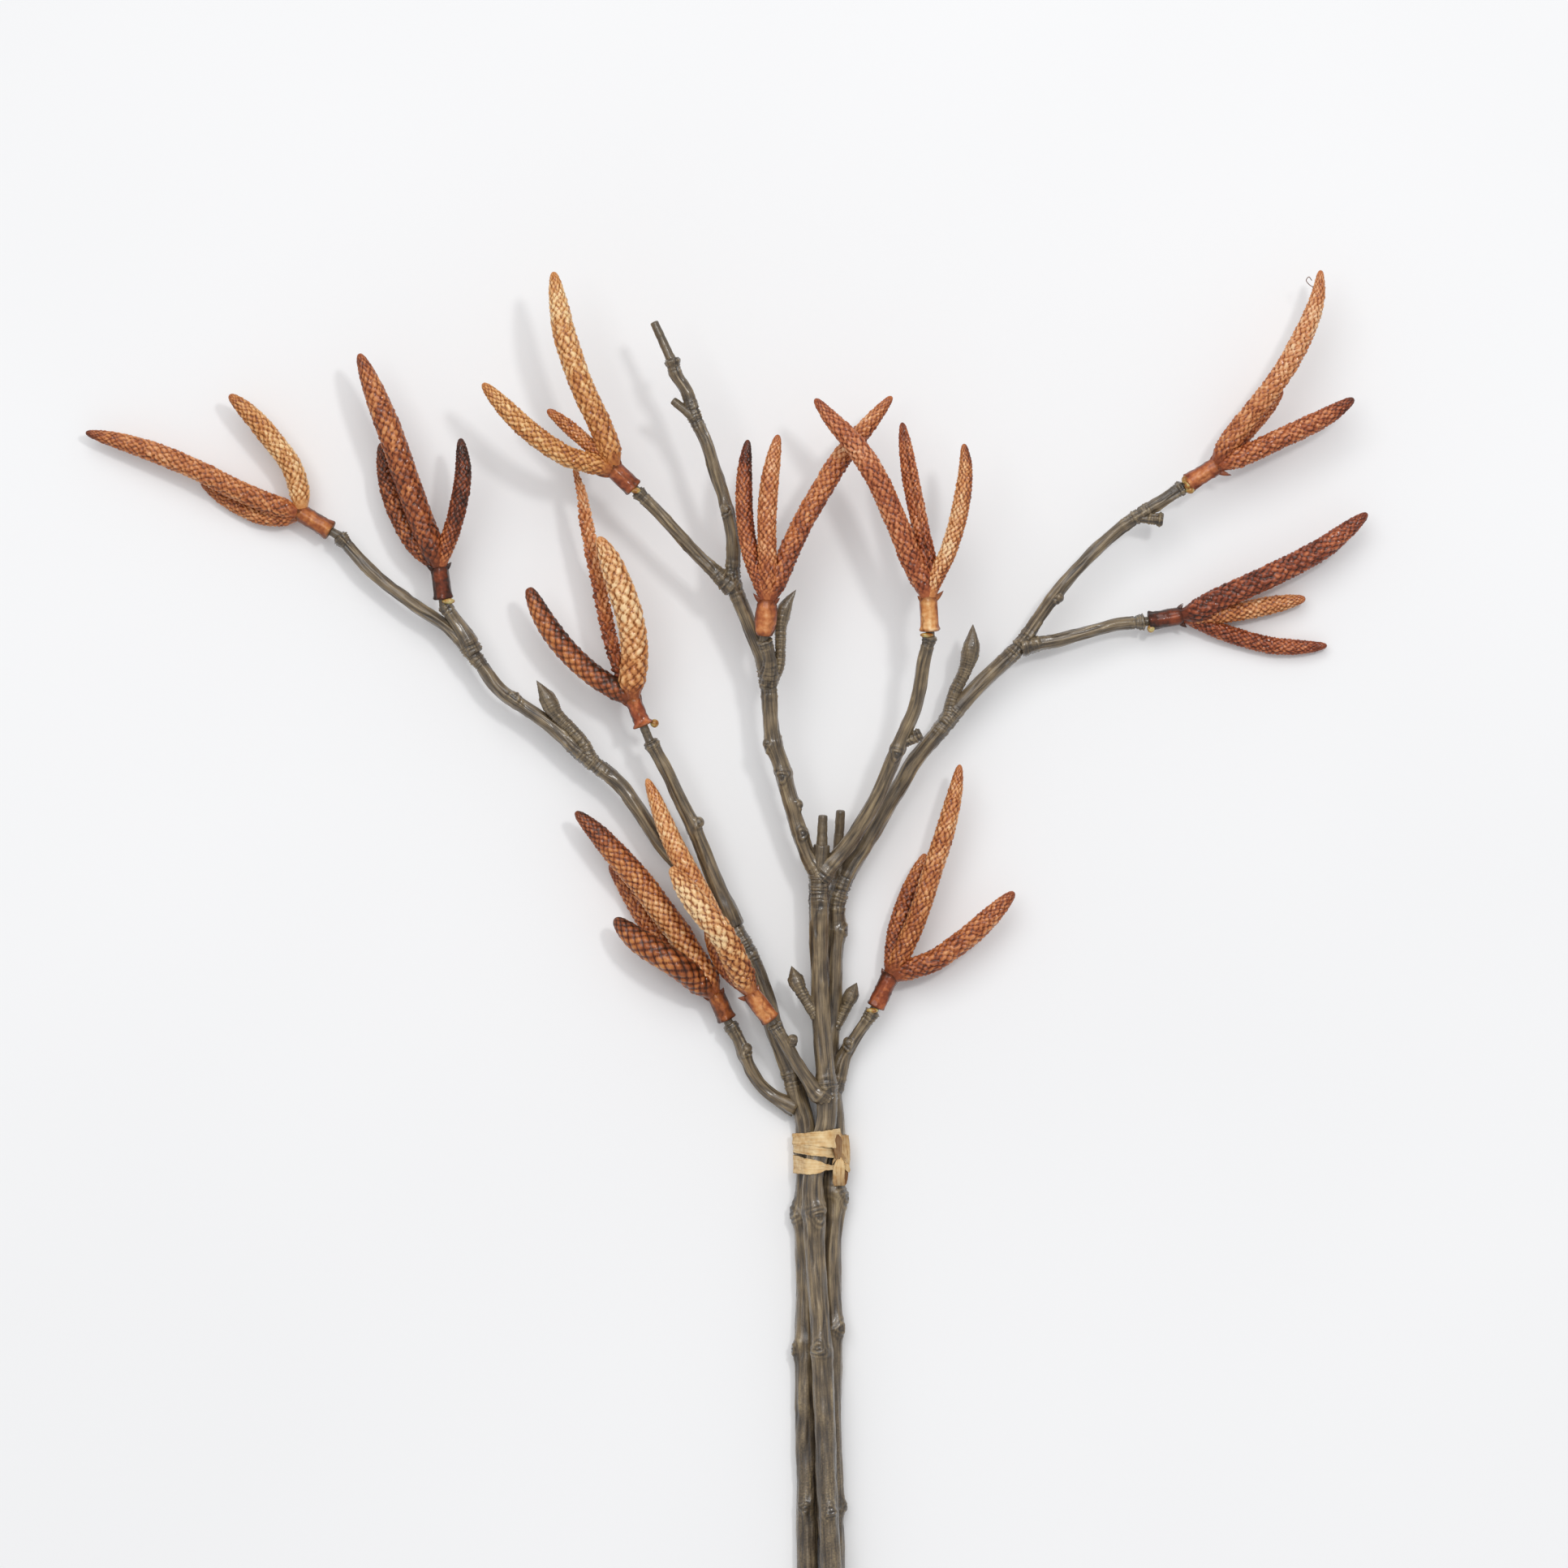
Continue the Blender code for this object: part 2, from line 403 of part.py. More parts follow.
def along(points, stations):
    """The smooth curve through the points, read at distances from its start.

    Each leg is a cubic that takes its slope at a point from the points on both sides.
    """
    given = np.array(points, float)
    at = route_length(points)
    slopes = np.gradient(given, at, axis=0)
    leg = np.clip(np.searchsorted(at, stations, side="right") - 1, 0, len(at) - 2)
    span = (at[leg + 1] - at[leg])[:, None]
    u = (stations - at[leg])[:, None] / span
    return (
        (2 * u**3 - 3 * u**2 + 1) * given[leg]
        + (u**3 - 2 * u**2 + u) * span * slopes[leg]
        + (3 * u**2 - 2 * u**3) * given[leg + 1]
        + (u**3 - u**2) * span * slopes[leg + 1]
    )


def even_stations(length, spacing):
    return np.linspace(0.0, length, max(3, round(length / spacing) + 1))


def frames(path, start=UP):
    """Two unit vectors across the path at each point, carried along it without twist."""
    forward = np.gradient(path, axis=0)
    forward /= np.linalg.norm(forward, axis=1)[:, None]
    across = np.empty_like(path)
    side = start
    for index, ahead in enumerate(forward):
        side = side - ahead * side.dot(ahead)
        side = side / np.linalg.norm(side)
        across[index] = side
    return forward, across, np.cross(forward, across)


def rings_along(path, radii, sides, flat=1.0):
    """Rings of points round a path; flat squeezes each ring across the carried vector."""
    _, across, over = frames(path)
    turn = np.arange(sides) * (2 * np.pi / sides)
    way = across[:, None] * (flat * np.cos(turn))[None, :, None]
    way = way + over[:, None] * np.sin(turn)[None, :, None]
    return path[:, None] + way * np.asarray(radii)[:, None, None]


def twig(name, route, flared=True, collared=True):
    """A tapering stem along a route, with a swelling at its root and a collar at its end."""
    length = route_length(route)[-1]
    stations = even_stations(length, STEM_SPACING)
    if collared:
        before = stations[stations < length - COLLAR_LENGTH - 1.5]
        collar = length - COLLAR_LENGTH * np.array([1.0, 0.5, 0.0])
        stations = np.concatenate([before, collar])
    line = along(route, stations)
    radii = line[:, 3] / 2
    if flared:
        radii = radii * (1 + ROOT_FLARE * np.exp(-stations / FLARE_FADES_IN))
    if collared:
        radii[-2:] += COLLAR_RISE
    path = line[:, :3]
    return solid(name, rings_along(path, radii, STEM_SIDES), path[0], path[-1])


def main_stem(name, route):
    """The stem from its cut end to the end of its leading twig, coarser below the tie."""
    at = route_length(route)
    tie = at[[point[1] for point in route].index(0.0)]
    low = even_stations(tie, LOWER_SPACING)
    high = tie + even_stations(at[-1] - COLLAR_LENGTH - tie, STEM_SPACING)[1:]
    collar = at[-1] - COLLAR_LENGTH * np.array([0.5, 0.0])
    stations = np.concatenate([low, high, collar])
    line = along(route, stations)
    radii = line[:, 3] / 2
    radii[-2:] += COLLAR_RISE
    path = line[:, :3]
    return solid(name, rings_along(path, radii, STEM_SIDES), path[0], path[-1])


def rod(name, root, tip, thick_root, thick_tip, sides=PEG_SIDES):
    """A straight peg that ends in a small chamfer."""
    root, tip = np.array(root), np.array(tip)
    ahead = (tip - root) / np.linalg.norm(tip - root)
    path = np.array([root, tip - 0.8 * ahead, tip])
    radii = [thick_root / 2, thick_tip / 2, thick_tip / 2 - 0.5]
    return solid(name, rings_along(path, radii, sides), root, tip)


def bud(name, route, width):
    """A bud: thin at its stalk, fullest at two thirds, closed to a point."""
    length = route_length(route)[-1]
    share = np.array([0.0, 0.16, 0.34, 0.5, 0.68, 0.84, 0.95])
    fullness = np.array([0.74, 0.6, 0.66, 0.84, 1.0, 0.78, 0.36])
    path = along(route, share * length)
    return solid(
        name, rings_along(path, fullness * width / 2, BUD_SIDES), path[0], np.array(route[-1])
    )


def knot(name, place, way, width):
    """A wart that stands on the stem: a blunt cone from the stem's middle outwards."""
    place, way = np.array(place), np.array(way) / np.linalg.norm(way)
    path = place + way * width * np.array([0.0, 0.82, 1.1])[:, None]
    radii = np.array([0.56, 0.5, 0.26]) * width
    return solid(name, rings_along(path, radii, KNOT_SIDES), place, place + way * 1.18 * width)


def socket_axis(mouth, end):
    mouth, end = np.array(mouth), np.array(end)
    length = np.linalg.norm(end - mouth)
    return mouth, (end - mouth) / length, length


def socket(name, mouth, end):
    """A tube closed at its far end, with a flared mouth and a blind bore."""
    mouth, ahead, length = socket_axis(mouth, end)
    depth = length - CLOSED_END
    profile = np.array([
        (depth, BORE_RADIUS), (1.2, BORE_RADIUS), (0.0, BORE_MOUTH_RADIUS), (0.0, MOUTH_RADIUS),
        (2.4, SOCKET_RADIUS), (length - 2.0, SOCKET_RADIUS), (length, 0.72 * SOCKET_RADIUS),
    ])
    side = np.cross(ahead, UP)
    side /= np.linalg.norm(side)
    over = np.cross(ahead, side)
    turn = np.arange(SOCKET_SIDES) * (2 * np.pi / SOCKET_SIDES)
    way = side * np.cos(turn)[:, None] + over * np.sin(turn)[:, None]
    rings = mouth + ahead * profile[:, :1, None] + way[None] * profile[:, 1:, None]
    return solid(name, rings, mouth + ahead * depth, mouth + ahead * (length + 0.8))


def catkin_line(mouth, end, heights, route):
    """The catkin's middle line from the closed end of its socket to its tip."""
    mouth, ahead, length = socket_axis(mouth, end)
    root = mouth + ahead * (length - ROOT_BEHIND_END)
    flat = np.array(route[::-1])
    share = route_length(np.column_stack([flat, np.zeros(len(flat))]))
    lifts = np.interp(share / share[-1], np.linspace(0, 1, len(heights)), heights[::-1])
    return np.vstack([root, np.column_stack([flat, lifts])])


def catkin(name, line, width):
    """A catkin: a net of diamond scales, each raised in its middle and leaning to the tip."""
    length = route_length(line)[-1]
    stations = even_stations(length, HALF_ROW)[:-1]
    columns = 2 * SCALES_AROUND
    rising = np.clip(stations / NECK_LENGTH, 0, 1)
    neck = NECK_RADIUS + (width / 2 - NECK_RADIUS) * (3 * rising**2 - 2 * rising**3)
    closing = np.clip((stations / length - TIP_STARTS) / (1 - TIP_STARTS), 0, 1)
    radii = neck * (1 - closing**2) ** 0.62
    ring = np.arange(len(stations))[:, None]
    column = np.arange(columns)[None, :]
    raised = (ring + column) % 2 == 0
    path = along(line, stations)
    forward, across, over = frames(path)
    turn = column * (2 * np.pi / columns)
    way = across[:, None] * np.cos(turn)[..., None] + over[:, None] * np.sin(turn)[..., None]
    reach = radii[:, None] * np.where(raised, 1.0, GROOVE_RATIO)
    lean = np.where(raised, SCALE_LEAN * HALF_ROW, 0.0)
    lean[0] = 0.0
    rings = path[:, None] + way * reach[..., None] + forward[:, None] * lean[..., None]
    return solid(name, rings, path[0], np.array(line[-1]), shift_diagonal=True)


def peg_for(name, mouth, end, showing):
    """The peg in a socket, from inside its twig's end to just short of the bore's bottom."""
    mouth, ahead, length = socket_axis(mouth, end)
    root = mouth - ahead * (showing + PEG_SUNK)
    tip = mouth + ahead * (length - CLOSED_END - PEG_SHORT_OF_BORE)
    return rod(name, root, tip, PEG_DIAMETER, PEG_DIAMETER)


def with_end(route, letter, thickness=5.0):
    """A twig's route, ended in line with the socket that it carries."""
    _, mouth, end, showing, _ = CLUSTERS[letter]
    mouth, ahead, _ = socket_axis(mouth, end)
    last = mouth - ahead * showing
    return route + [(*last, thickness)]


def stem(name, main, twigs, buds, rods, knots, material):
    """One branch: its main line, side twigs, buds, bare pegs, knots and the pegs in sockets."""
    side = name.split("_")[1]
    pieces = [main]
    pieces += [twig("twig", with_end(route, letter)) for letter, route in twigs.items()]
    pieces += [bud("bud", route, width) for route, width in buds]
    pieces += [rod("rod", *sizes) for sizes in rods]
    pieces += [knot("knot", *sizes) for sizes in knots]
    for holder, mouth, end, showing, _ in CLUSTERS.values():
        if holder == side:
            pieces.append(peg_for("peg", mouth, end, showing))
    return unite(name, pieces, material)


def cluster(letter, material):
    """A moulded cluster: three catkins that grow out of the closed end of one socket."""
    _, mouth, end, _, catkins = CLUSTERS[letter]
    pieces = [socket("socket", mouth, end)]
    for width, heights, route in catkins:
        pieces.append(catkin("catkin", catkin_line(mouth, end, heights, route), width))
    return unite("catkins_" + letter, pieces, material)


def centre_at(route, place):
    """Where a stem's middle line crosses a plane across the bunch: across and up."""
    line = along(route, even_stations(route_length(route)[-1], 2.0))
    return np.array([np.interp(place, line[:, 1], line[:, 0]), np.interp(place, line[:, 1], line[:, 2])])


def hull_round_stems(place, reach):
    """The outline of a band pulled tight round the three stems, reach from their middles."""
    left = np.array([centre_at(LEFT_MAIN, 0.0)[0], LOWER_STEM_HEIGHT])
    right = np.array([centre_at(RIGHT_MAIN, 0.0)[0], LOWER_STEM_HEIGHT])
    front = centre_at(MIDDLE_MAIN, place)
    centres = [left, right, front]
    outline = []
    for index, centre in enumerate(centres):
        into = centre - centres[index - 1]
        onward = centres[(index + 1) % 3] - centre
        start = np.arctan2(-into[0], into[1])
        stop = np.arctan2(-onward[0], onward[1])
        stop += 2 * np.pi if stop < start else 0.0
        turn = np.linspace(start, stop, ARC_STEPS + 1)
        outline.append(centre + reach * np.column_stack([np.cos(turn), np.sin(turn)]))
    return np.concatenate(outline)


def wrap(name, span, lift_off, thickness, slant):
    """A flat strip pulled round the three stems; slant lifts its right flank along the stems."""
    near = TIE_STEM_RADIUS + RAFFIA_GAP + lift_off
    # The inner and outer faces are twisted alike, so both are split along the same diagonal
    corners = []
    for place, reach in ((span[0], near), (span[1], near), (span[1], near + thickness),
                         (span[0], near + thickness)):
        outline = hull_round_stems(place, reach)
        lift = slant * np.clip(outline[:, 1] / 18.0, 0, 1) * np.sign(outline[:, 0])
        corners.append(np.column_stack([outline[:, 0], place + lift, outline[:, 1]]))
    rings = np.array(corners)
    count, sides = rings.shape[:2]
    points = rings.reshape(-1, 3)
    faces = []
    for ring in range(count):
        for side in range(sides):
            a = ring * sides + side
            b = ring * sides + (side + 1) % sides
            c = (ring + 1) % count * sides + (side + 1) % sides
            d = (ring + 1) % count * sides + side
            if ring == OUTER_FACE:
                faces.extend([(a, b, d), (b, c, d)])
            else:
                faces.extend([(a, b, c), (a, c, d)])
    mesh = bpy.data.meshes.new(name)
    mesh.from_pydata((points * MM).tolist(), [], faces)
    return bpy.data.objects.new(name, mesh)


def strand(name, route, radius):
    """A length of raffia, rolled to a flattened cord."""
    path = along(route, even_stations(route_length(route)[-1], STRAND_SPACING))
    radii = np.full(len(path), radius)
    return solid(name, rings_along(path, radii, STRAND_SIDES, flat=0.6), path[0], path[-1])


def raffia_tie(material):
    pieces = [
        wrap("upper_wrap", UPPER_WRAP, 0.0, UPPER_THICKNESS, WRAP_SLANT),
        wrap("lower_wrap", LOWER_WRAP, LOWER_WRAP_LIFT, LOWER_THICKNESS, -0.4 * WRAP_SLANT),
        strand("side_loop", SIDE_LOOP, 1.3),
        strand("low_loop", LOW_LOOP, 1.2),
        strand("heart", KNOT_HEART, 1.5),
    ]
    return unite("raffia_tie", pieces, material)


for thing in list(bpy.data.objects):
    bpy.data.objects.remove(thing)

stem_plastic = finish("stem_plastic", STEM_BROWN, 0.42)
stem(
    "stem_left",
    main_stem("main", with_end(LEFT_MAIN, "a")),
    {"b": TWIG_B, "e": TWIG_E, "k": TWIG_K},
    [(LEFT_BUD, 5.5)],
    [],
    LEFT_KNOTS,
    stem_plastic,
)
stem(
    "stem_middle",
    main_stem("main", MIDDLE_MAIN),
    {"c": TWIG_C, "f": TWIG_F, "g": TWIG_G, "l": TWIG_L},
    [(FRONT_BUD, 5.4), (LOW_BUD, 4.6)],
    [TOP_PEG, TOP_STUB, FORK_KNUCKLE, FORK_PEG, G_STUB],
    MIDDLE_KNOTS,
    stem_plastic,
)
stem(
    "stem_right",
    main_stem("main", with_end(RIGHT_MAIN, "i")),
    {"j": TWIG_J, "m": TWIG_M},
    [(RIGHT_BUD, 4.8), (TALL_BUD, 6.4)],
    [RIGHT_PEG, RIGHT_PEG_TIP, I_STUB],
    RIGHT_KNOTS,
    stem_plastic,
)
for letter in CLUSTERS:
    cluster(letter, finish("catkin_plastic_" + letter, CATKIN_COLOURS[letter], 0.38))
raffia_tie(finish("raffia", RAFFIA_STRAW, 0.7))
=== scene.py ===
"""Looks of a tied bunch of three moulded alder branches with catkins, lying on its back.

It follows the bunch as it is put together: the moulded stems, the catkin clusters pushed on
their pegs, the hot glue at the sockets, the raffia tie, and then the studio. The sizes in the
lists are millimetres, and every mesh is laid out in metres.
"""

import bpy
import numpy as np
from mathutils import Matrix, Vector


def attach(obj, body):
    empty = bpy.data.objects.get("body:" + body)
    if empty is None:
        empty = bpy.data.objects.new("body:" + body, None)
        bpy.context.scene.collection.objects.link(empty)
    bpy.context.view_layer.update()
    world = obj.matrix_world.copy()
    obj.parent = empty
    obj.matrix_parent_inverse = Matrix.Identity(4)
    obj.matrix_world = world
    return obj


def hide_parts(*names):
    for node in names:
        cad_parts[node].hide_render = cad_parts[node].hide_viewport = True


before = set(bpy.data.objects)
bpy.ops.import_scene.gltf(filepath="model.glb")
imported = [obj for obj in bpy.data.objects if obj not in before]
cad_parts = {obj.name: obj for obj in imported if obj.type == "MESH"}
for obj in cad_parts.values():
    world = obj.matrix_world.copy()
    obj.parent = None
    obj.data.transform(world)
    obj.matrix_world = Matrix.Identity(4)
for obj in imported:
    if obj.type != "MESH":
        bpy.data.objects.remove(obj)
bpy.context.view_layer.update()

# Stems
#
# Three branches of olive grey-brown polyethylene, each moulded in one piece over a real twig's
# shape. The mould leaves lengthwise ridges, ringed wrinkles at the forks and twig ends, small
# breathing pores, and buds. Each stem stands for the frame's plain one.

MM = 0.001
UPRIGHT = np.array([0.0, 0.0, 1.0])
# Points round a stem, a peg or nub, and a bud
STEM_COLUMNS = 44
PEG_COLUMNS = 20
BUD_COLUMNS = 28
# Rows of points along a stem: below the tie, on plain bark, and where the bark is ringed
LOWER_ROW = 2.6
PLAIN_ROW = 1.35
RINGED_ROW = 0.36
# Bark: how far the section is out of round as shares of its radius, heights of ridges, ring
# wrinkles and pores, crease depth and half-width, and distances from ring to ring and pore to pore
OVAL = 0.030
THREE_SIDED = 0.022
RIDGE_HEIGHT = 0.055
RING_HEIGHT = 0.28
RING_PITCH = 1.45
PORE_HEIGHT = 0.26
PORE_PITCH = 7
CREASE_DEPTH = 0.30
CREASE_HALF_WIDTH = 0.42
# Knots: swelling as a share of the width, height and distance of the rings, and depth of the pit
KNOT_SWELLING = 0.36
KNOT_RING_HEIGHT = 0.36
KNOT_RING_PITCH = 2.6
KNOT_PIT = 0.40
WIDEST_NUB = 3.9
# The collar at a stem's end, the rounding where a twig leaves its parent, and where along the
# bunch the stems begin to darken with painted shade, over what length, and how dark they get
COLLAR_REACH = 8.0
COLLAR_HEIGHT = 0.45
FILLET_REACH = 1.7
FILLET_HEIGHT = 1.02
DARKER_BELOW = -60.0
DARKER_OVER = 60.0
LOWER_PAINTED_SHADE = 0.75
# Pegs in the sockets, and the solid end of a socket beyond its bore
PEG_DIAMETER = 3.5
PEG_SHORT_OF_BORE = 0.6
CLOSED_END = 4.2

# Middle lines of the stems from the cut end up, in millimetres: across, along, up and thickness
LEFT_MAIN = [
    (-7.0, -300.0, 4.5, 9.0), (-5.4, -164.0, 4.7, 8.8), (-5.4, -141.0, 4.8, 8.7),
    (-6.1, -102.0, 4.9, 8.7), (-6.1, -70.0, 5.0, 8.6), (-5.8, -45.0, 5.1, 8.6),
    (-6.7, -25.0, 5.2, 8.5), (-5.9, -10.0, 5.25, 8.4), (-6.1, 0.0, 5.25, 8.4),
    (-6.4, 11.5, 5.4, 8.2), (-9.3, 22.0, 6.5, 8.1), (-11.8, 31.4, 7.2, 8.0),
    (-14.7, 39.0, 8.0, 7.9), (-18.6, 48.6, 9.0, 7.8), (-21.8, 60.2, 10.0, 7.7),
    (-25.6, 70.4, 11.0, 7.7), (-30.1, 80.0, 12.0, 7.6), (-34.2, 87.7, 12.8, 7.2),
    (-42.2, 97.6, 13.5, 6.5), (-51.8, 108.8, 14.0, 6.4), (-64.0, 122.6, 14.6, 6.3),
    (-71.7, 134.4, 15.3, 6.3), (-80.0, 145.6, 16.0, 6.2), (-87.7, 152.0, 16.4, 6.2),
    (-94.7, 157.4, 16.7, 6.1), (-107.8, 169.3, 17.0, 6.0), (-116.8, 175.4, 17.0, 5.9),
    (-126.7, 182.4, 16.6, 5.8), (-135.7, 194.2, 16.0, 5.6), (-146.2, 206.1, 15.0, 5.4),
    (-161.0, 216.3, 14.0, 5.3), (-176.0, 227.8, 12.4, 5.2),
]
MIDDLE_MAIN = [
    (4.5, -304.0, 14.0, 8.8), (3.8, -164.0, 14.3, 8.6), (2.6, -141.0, 14.2, 8.6),
    (1.3, -102.0, 14.1, 8.5), (-0.3, -70.0, 13.7, 8.5), (-2.2, -45.0, 13.8, 8.4),
    (-2.9, -25.0, 13.8, 8.4), (-3.2, -10.0, 14.1, 8.4), (-1.3, 0.0, 13.5, 8.3),
    (1.9, 10.6, 13.8, 8.2), (2.2, 24.0, 14.3, 8.0), (1.3, 35.0, 14.6, 7.9),
    (0.0, 52.2, 15.0, 7.8), (-0.6, 72.0, 16.0, 7.7), (-1.0, 86.4, 17.0, 7.7),
    (-1.0, 102.7, 18.4, 7.6), (-1.4, 109.4, 19.0, 7.2), (-5.1, 116.8, 19.8, 6.6),
    (-9.0, 127.4, 21.0, 6.4), (-12.5, 139.5, 22.5, 6.4), (-15.7, 152.0, 24.0, 6.4),
    (-18.6, 161.0, 25.0, 6.4), (-20.2, 173.0, 26.0, 6.3), (-20.8, 183.7, 27.0, 6.3),
    (-22.7, 193.6, 28.0, 6.2), (-26.6, 203.5, 29.0, 6.2), (-31.7, 216.3, 30.5, 6.1),
    (-34.6, 224.5, 32.0, 5.8), (-34.6, 238.4, 34.5, 5.4), (-36.5, 250.6, 36.0, 5.3),
    (-39.4, 261.4, 36.7, 5.2), (-41.9, 268.8, 37.2, 5.2), (-45.1, 279.4, 38.0, 5.1),
    (-49.9, 289.9, 38.0, 5.1), (-53.1, 299.8, 38.0, 5.1), (-57.0, 306.2, 38.0, 5.2),
    (-58.9, 312.6, 38.0, 5.4),
]
RIGHT_MAIN = [
    (5.5, -297.0, 4.5, 9.0), (4.8, -164.0, 4.8, 8.8), (4.8, -141.0, 4.9, 8.7),
    (3.7, -102.0, 5.0, 8.7), (4.2, -70.0, 5.1, 8.6), (3.8, -45.0, 5.2, 8.6),
    (4.5, -25.0, 5.25, 8.5), (4.8, -10.0, 5.25, 8.5), (5.1, 0.0, 5.25, 8.5),
    (5.1, 10.6, 5.25, 8.3), (3.8, 27.8, 5.6, 8.1), (3.2, 41.6, 6.0, 8.0),
    (4.2, 57.6, 6.6, 7.9), (4.8, 72.0, 7.2, 7.8), (5.4, 86.4, 8.0, 7.7),
    (5.8, 98.6, 8.8, 7.6), (8.3, 106.2, 9.4, 7.5), (12.2, 113.9, 10.0, 7.3),
    (16.3, 119.7, 10.5, 7.1), (21.1, 128.3, 11.0, 7.0), (26.2, 137.3, 11.7, 6.9),
    (31.7, 145.6, 12.4, 6.8), (35.8, 153.0, 13.0, 6.8), (41.0, 159.7, 13.6, 6.7),
    (46.7, 166.4, 14.1, 6.7), (51.5, 172.5, 14.5, 6.6), (57.0, 178.9, 15.0, 6.5),
    (64.3, 186.2, 15.0, 6.4), (70.4, 192.0, 15.0, 6.3), (77.4, 198.7, 15.0, 6.0),
    (81.0, 203.5, 15.2, 5.6), (85.8, 210.9, 15.6, 5.4), (91.2, 218.6, 16.2, 5.4),
    (96.6, 225.3, 17.0, 5.3), (102.4, 231.7, 17.3, 5.3), (110.1, 239.4, 17.7, 5.2),
    (118.7, 246.7, 18.0, 5.2), (127.7, 252.8, 18.0, 5.2), (135.4, 257.6, 18.0, 5.1),
]

# Side twigs, each from inside the stem that it grows from to just short of its own end
TWIG_B = [(-137.0, 196.8, 15.9, 5.1), (-140.5, 203.8, 16.8, 5.1), (-144.6, 210.2, 17.4, 5.0)]
TWIG_E = [
    (-34.6, 89.0, 13.0, 6.6), (-41.0, 104.6, 15.4, 6.4), (-45.8, 116.8, 17.0, 6.3),
    (-50.9, 129.0, 18.7, 6.1), (-55.7, 138.9, 20.2, 5.9), (-60.5, 149.4, 21.8, 5.6),
]
TWIG_K = [
    (-10.0, 17.4, 6.0, 6.0), (-17.9, 21.4, 6.4, 5.6), (-23.4, 25.9, 7.0, 5.4),
    (-27.5, 31.7, 8.0, 5.3), (-30.1, 37.8, 9.0, 5.2), (-32.6, 44.2, 10.0, 5.1),
]
TWIG_C = [
    (-34.6, 222.5, 31.8, 5.6), (-39.7, 226.9, 33.0, 5.5), (-48.6, 235.2, 34.4, 5.3),
    (-57.6, 245.1, 36.0, 5.2), (-66.6, 254.7, 37.2, 5.1),
]
TWIG_F = [(-20.8, 185.0, 27.5, 5.4), (-20.3, 194.0, 33.0, 5.1)]
TWIG_G = [
    (-0.6, 108.4, 18.8, 6.6), (3.5, 113.3, 19.8, 6.5), (9.9, 120.6, 21.0, 6.4),
    (16.3, 130.2, 23.6, 6.4), (22.1, 140.5, 26.0, 6.3), (25.3, 147.8, 27.7, 6.2),
    (28.2, 154.9, 29.3, 6.1), (31.0, 161.6, 31.0, 6.0), (33.6, 167.4, 32.5, 5.9),
    (36.5, 174.4, 34.2, 5.7), (38.4, 182.1, 36.0, 5.5), (40.0, 192.0, 38.2, 5.3),
]
TWIG_L = [
    (2.2, 21.0, 14.4, 5.6), (-1.6, 23.6, 16.4, 5.6), (-5.4, 28.8, 18.2, 5.3),
    (-9.6, 35.2, 19.5, 5.2), (-13.4, 41.6, 20.6, 5.1),
]
TWIG_J = [
    (79.0, 199.6, 15.0, 5.6), (84.0, 200.6, 14.7, 5.5), (92.5, 201.9, 14.0, 5.4),
    (103.4, 204.8, 12.9, 5.3), (115.5, 208.0, 11.3, 5.2),
]
TWIG_M = [
    (5.0, 24.0, 5.5, 5.6), (6.4, 29.4, 6.0, 5.5), (8.6, 37.1, 7.0, 5.3),
    (13.1, 44.5, 8.4, 5.1),
]

# Buds: a stalk that swells and closes in a point, with the width at its fullest
LEFT_BUD = [
    (-91.0, 155.2, 16.5), (-93.6, 161.0, 17.4), (-98.6, 167.0, 18.4), (-104.6, 173.0, 19.8),
    (-109.1, 181.0, 21.2), (-112.3, 186.2, 22.0),
]
FRONT_BUD = [
    (-20.6, 184.0, 27.0), (-16.8, 191.0, 29.0), (-16.1, 200.6, 31.0), (-15.7, 209.9, 32.0),
    (-13.8, 215.7, 33.0), (-9.9, 221.8, 34.0),
]
LOW_BUD = [
    (-0.8, 52.5, 15.0), (-4.2, 57.3, 16.0), (-6.6, 61.2, 16.6), (-9.6, 66.9, 17.0),
    (-11.8, 73.6, 17.4),
]
RIGHT_BUD = [
    (4.4, 47.4, 6.4), (8.4, 54.4, 7.6), (11.2, 60.5, 9.0), (14.1, 66.9, 10.0),
]
TALL_BUD = [
    (50.0, 170.6, 14.4), (52.4, 181.0, 15.8), (56.4, 189.4, 18.0), (58.9, 197.8, 19.8),
    (59.8, 208.3, 21.0),
]

# Bare pegs, each with its root, its tip and the thickness at both. The two short ringed stubs are
# routes like the twigs.
TOP_PEG = ((-57.6, 309.0, 38.0), (-65.9, 327.0, 38.0), 4.0, 3.4)
TOP_STUB = ((-49.4, 289.0, 38.0), (-58.6, 296.2, 38.8), 4.4, 3.2)
FORK_KNUCKLE = ((-0.8, 108.0, 18.8), (0.3, 121.6, 20.6), 7.2, 6.6)
FORK_PEG = ((0.2, 119.6, 20.4), (0.6, 133.1, 22.0), 4.4, 3.8)
G_STUB = [(30.8, 161.0, 30.8, 4.8), (39.4, 165.1, 31.4, 4.6)]
RIGHT_PEG = ((8.0, 105.0, 9.4), (6.2, 117.0, 10.8), 6.0, 4.8)
RIGHT_PEG_TIP = ((6.3, 115.0, 10.6), (7.7, 135.0, 14.0), 4.2, 3.8)
I_STUB = [(125.4, 250.6, 18.0, 4.2), (134.9, 249.4, 18.4, 4.4)]

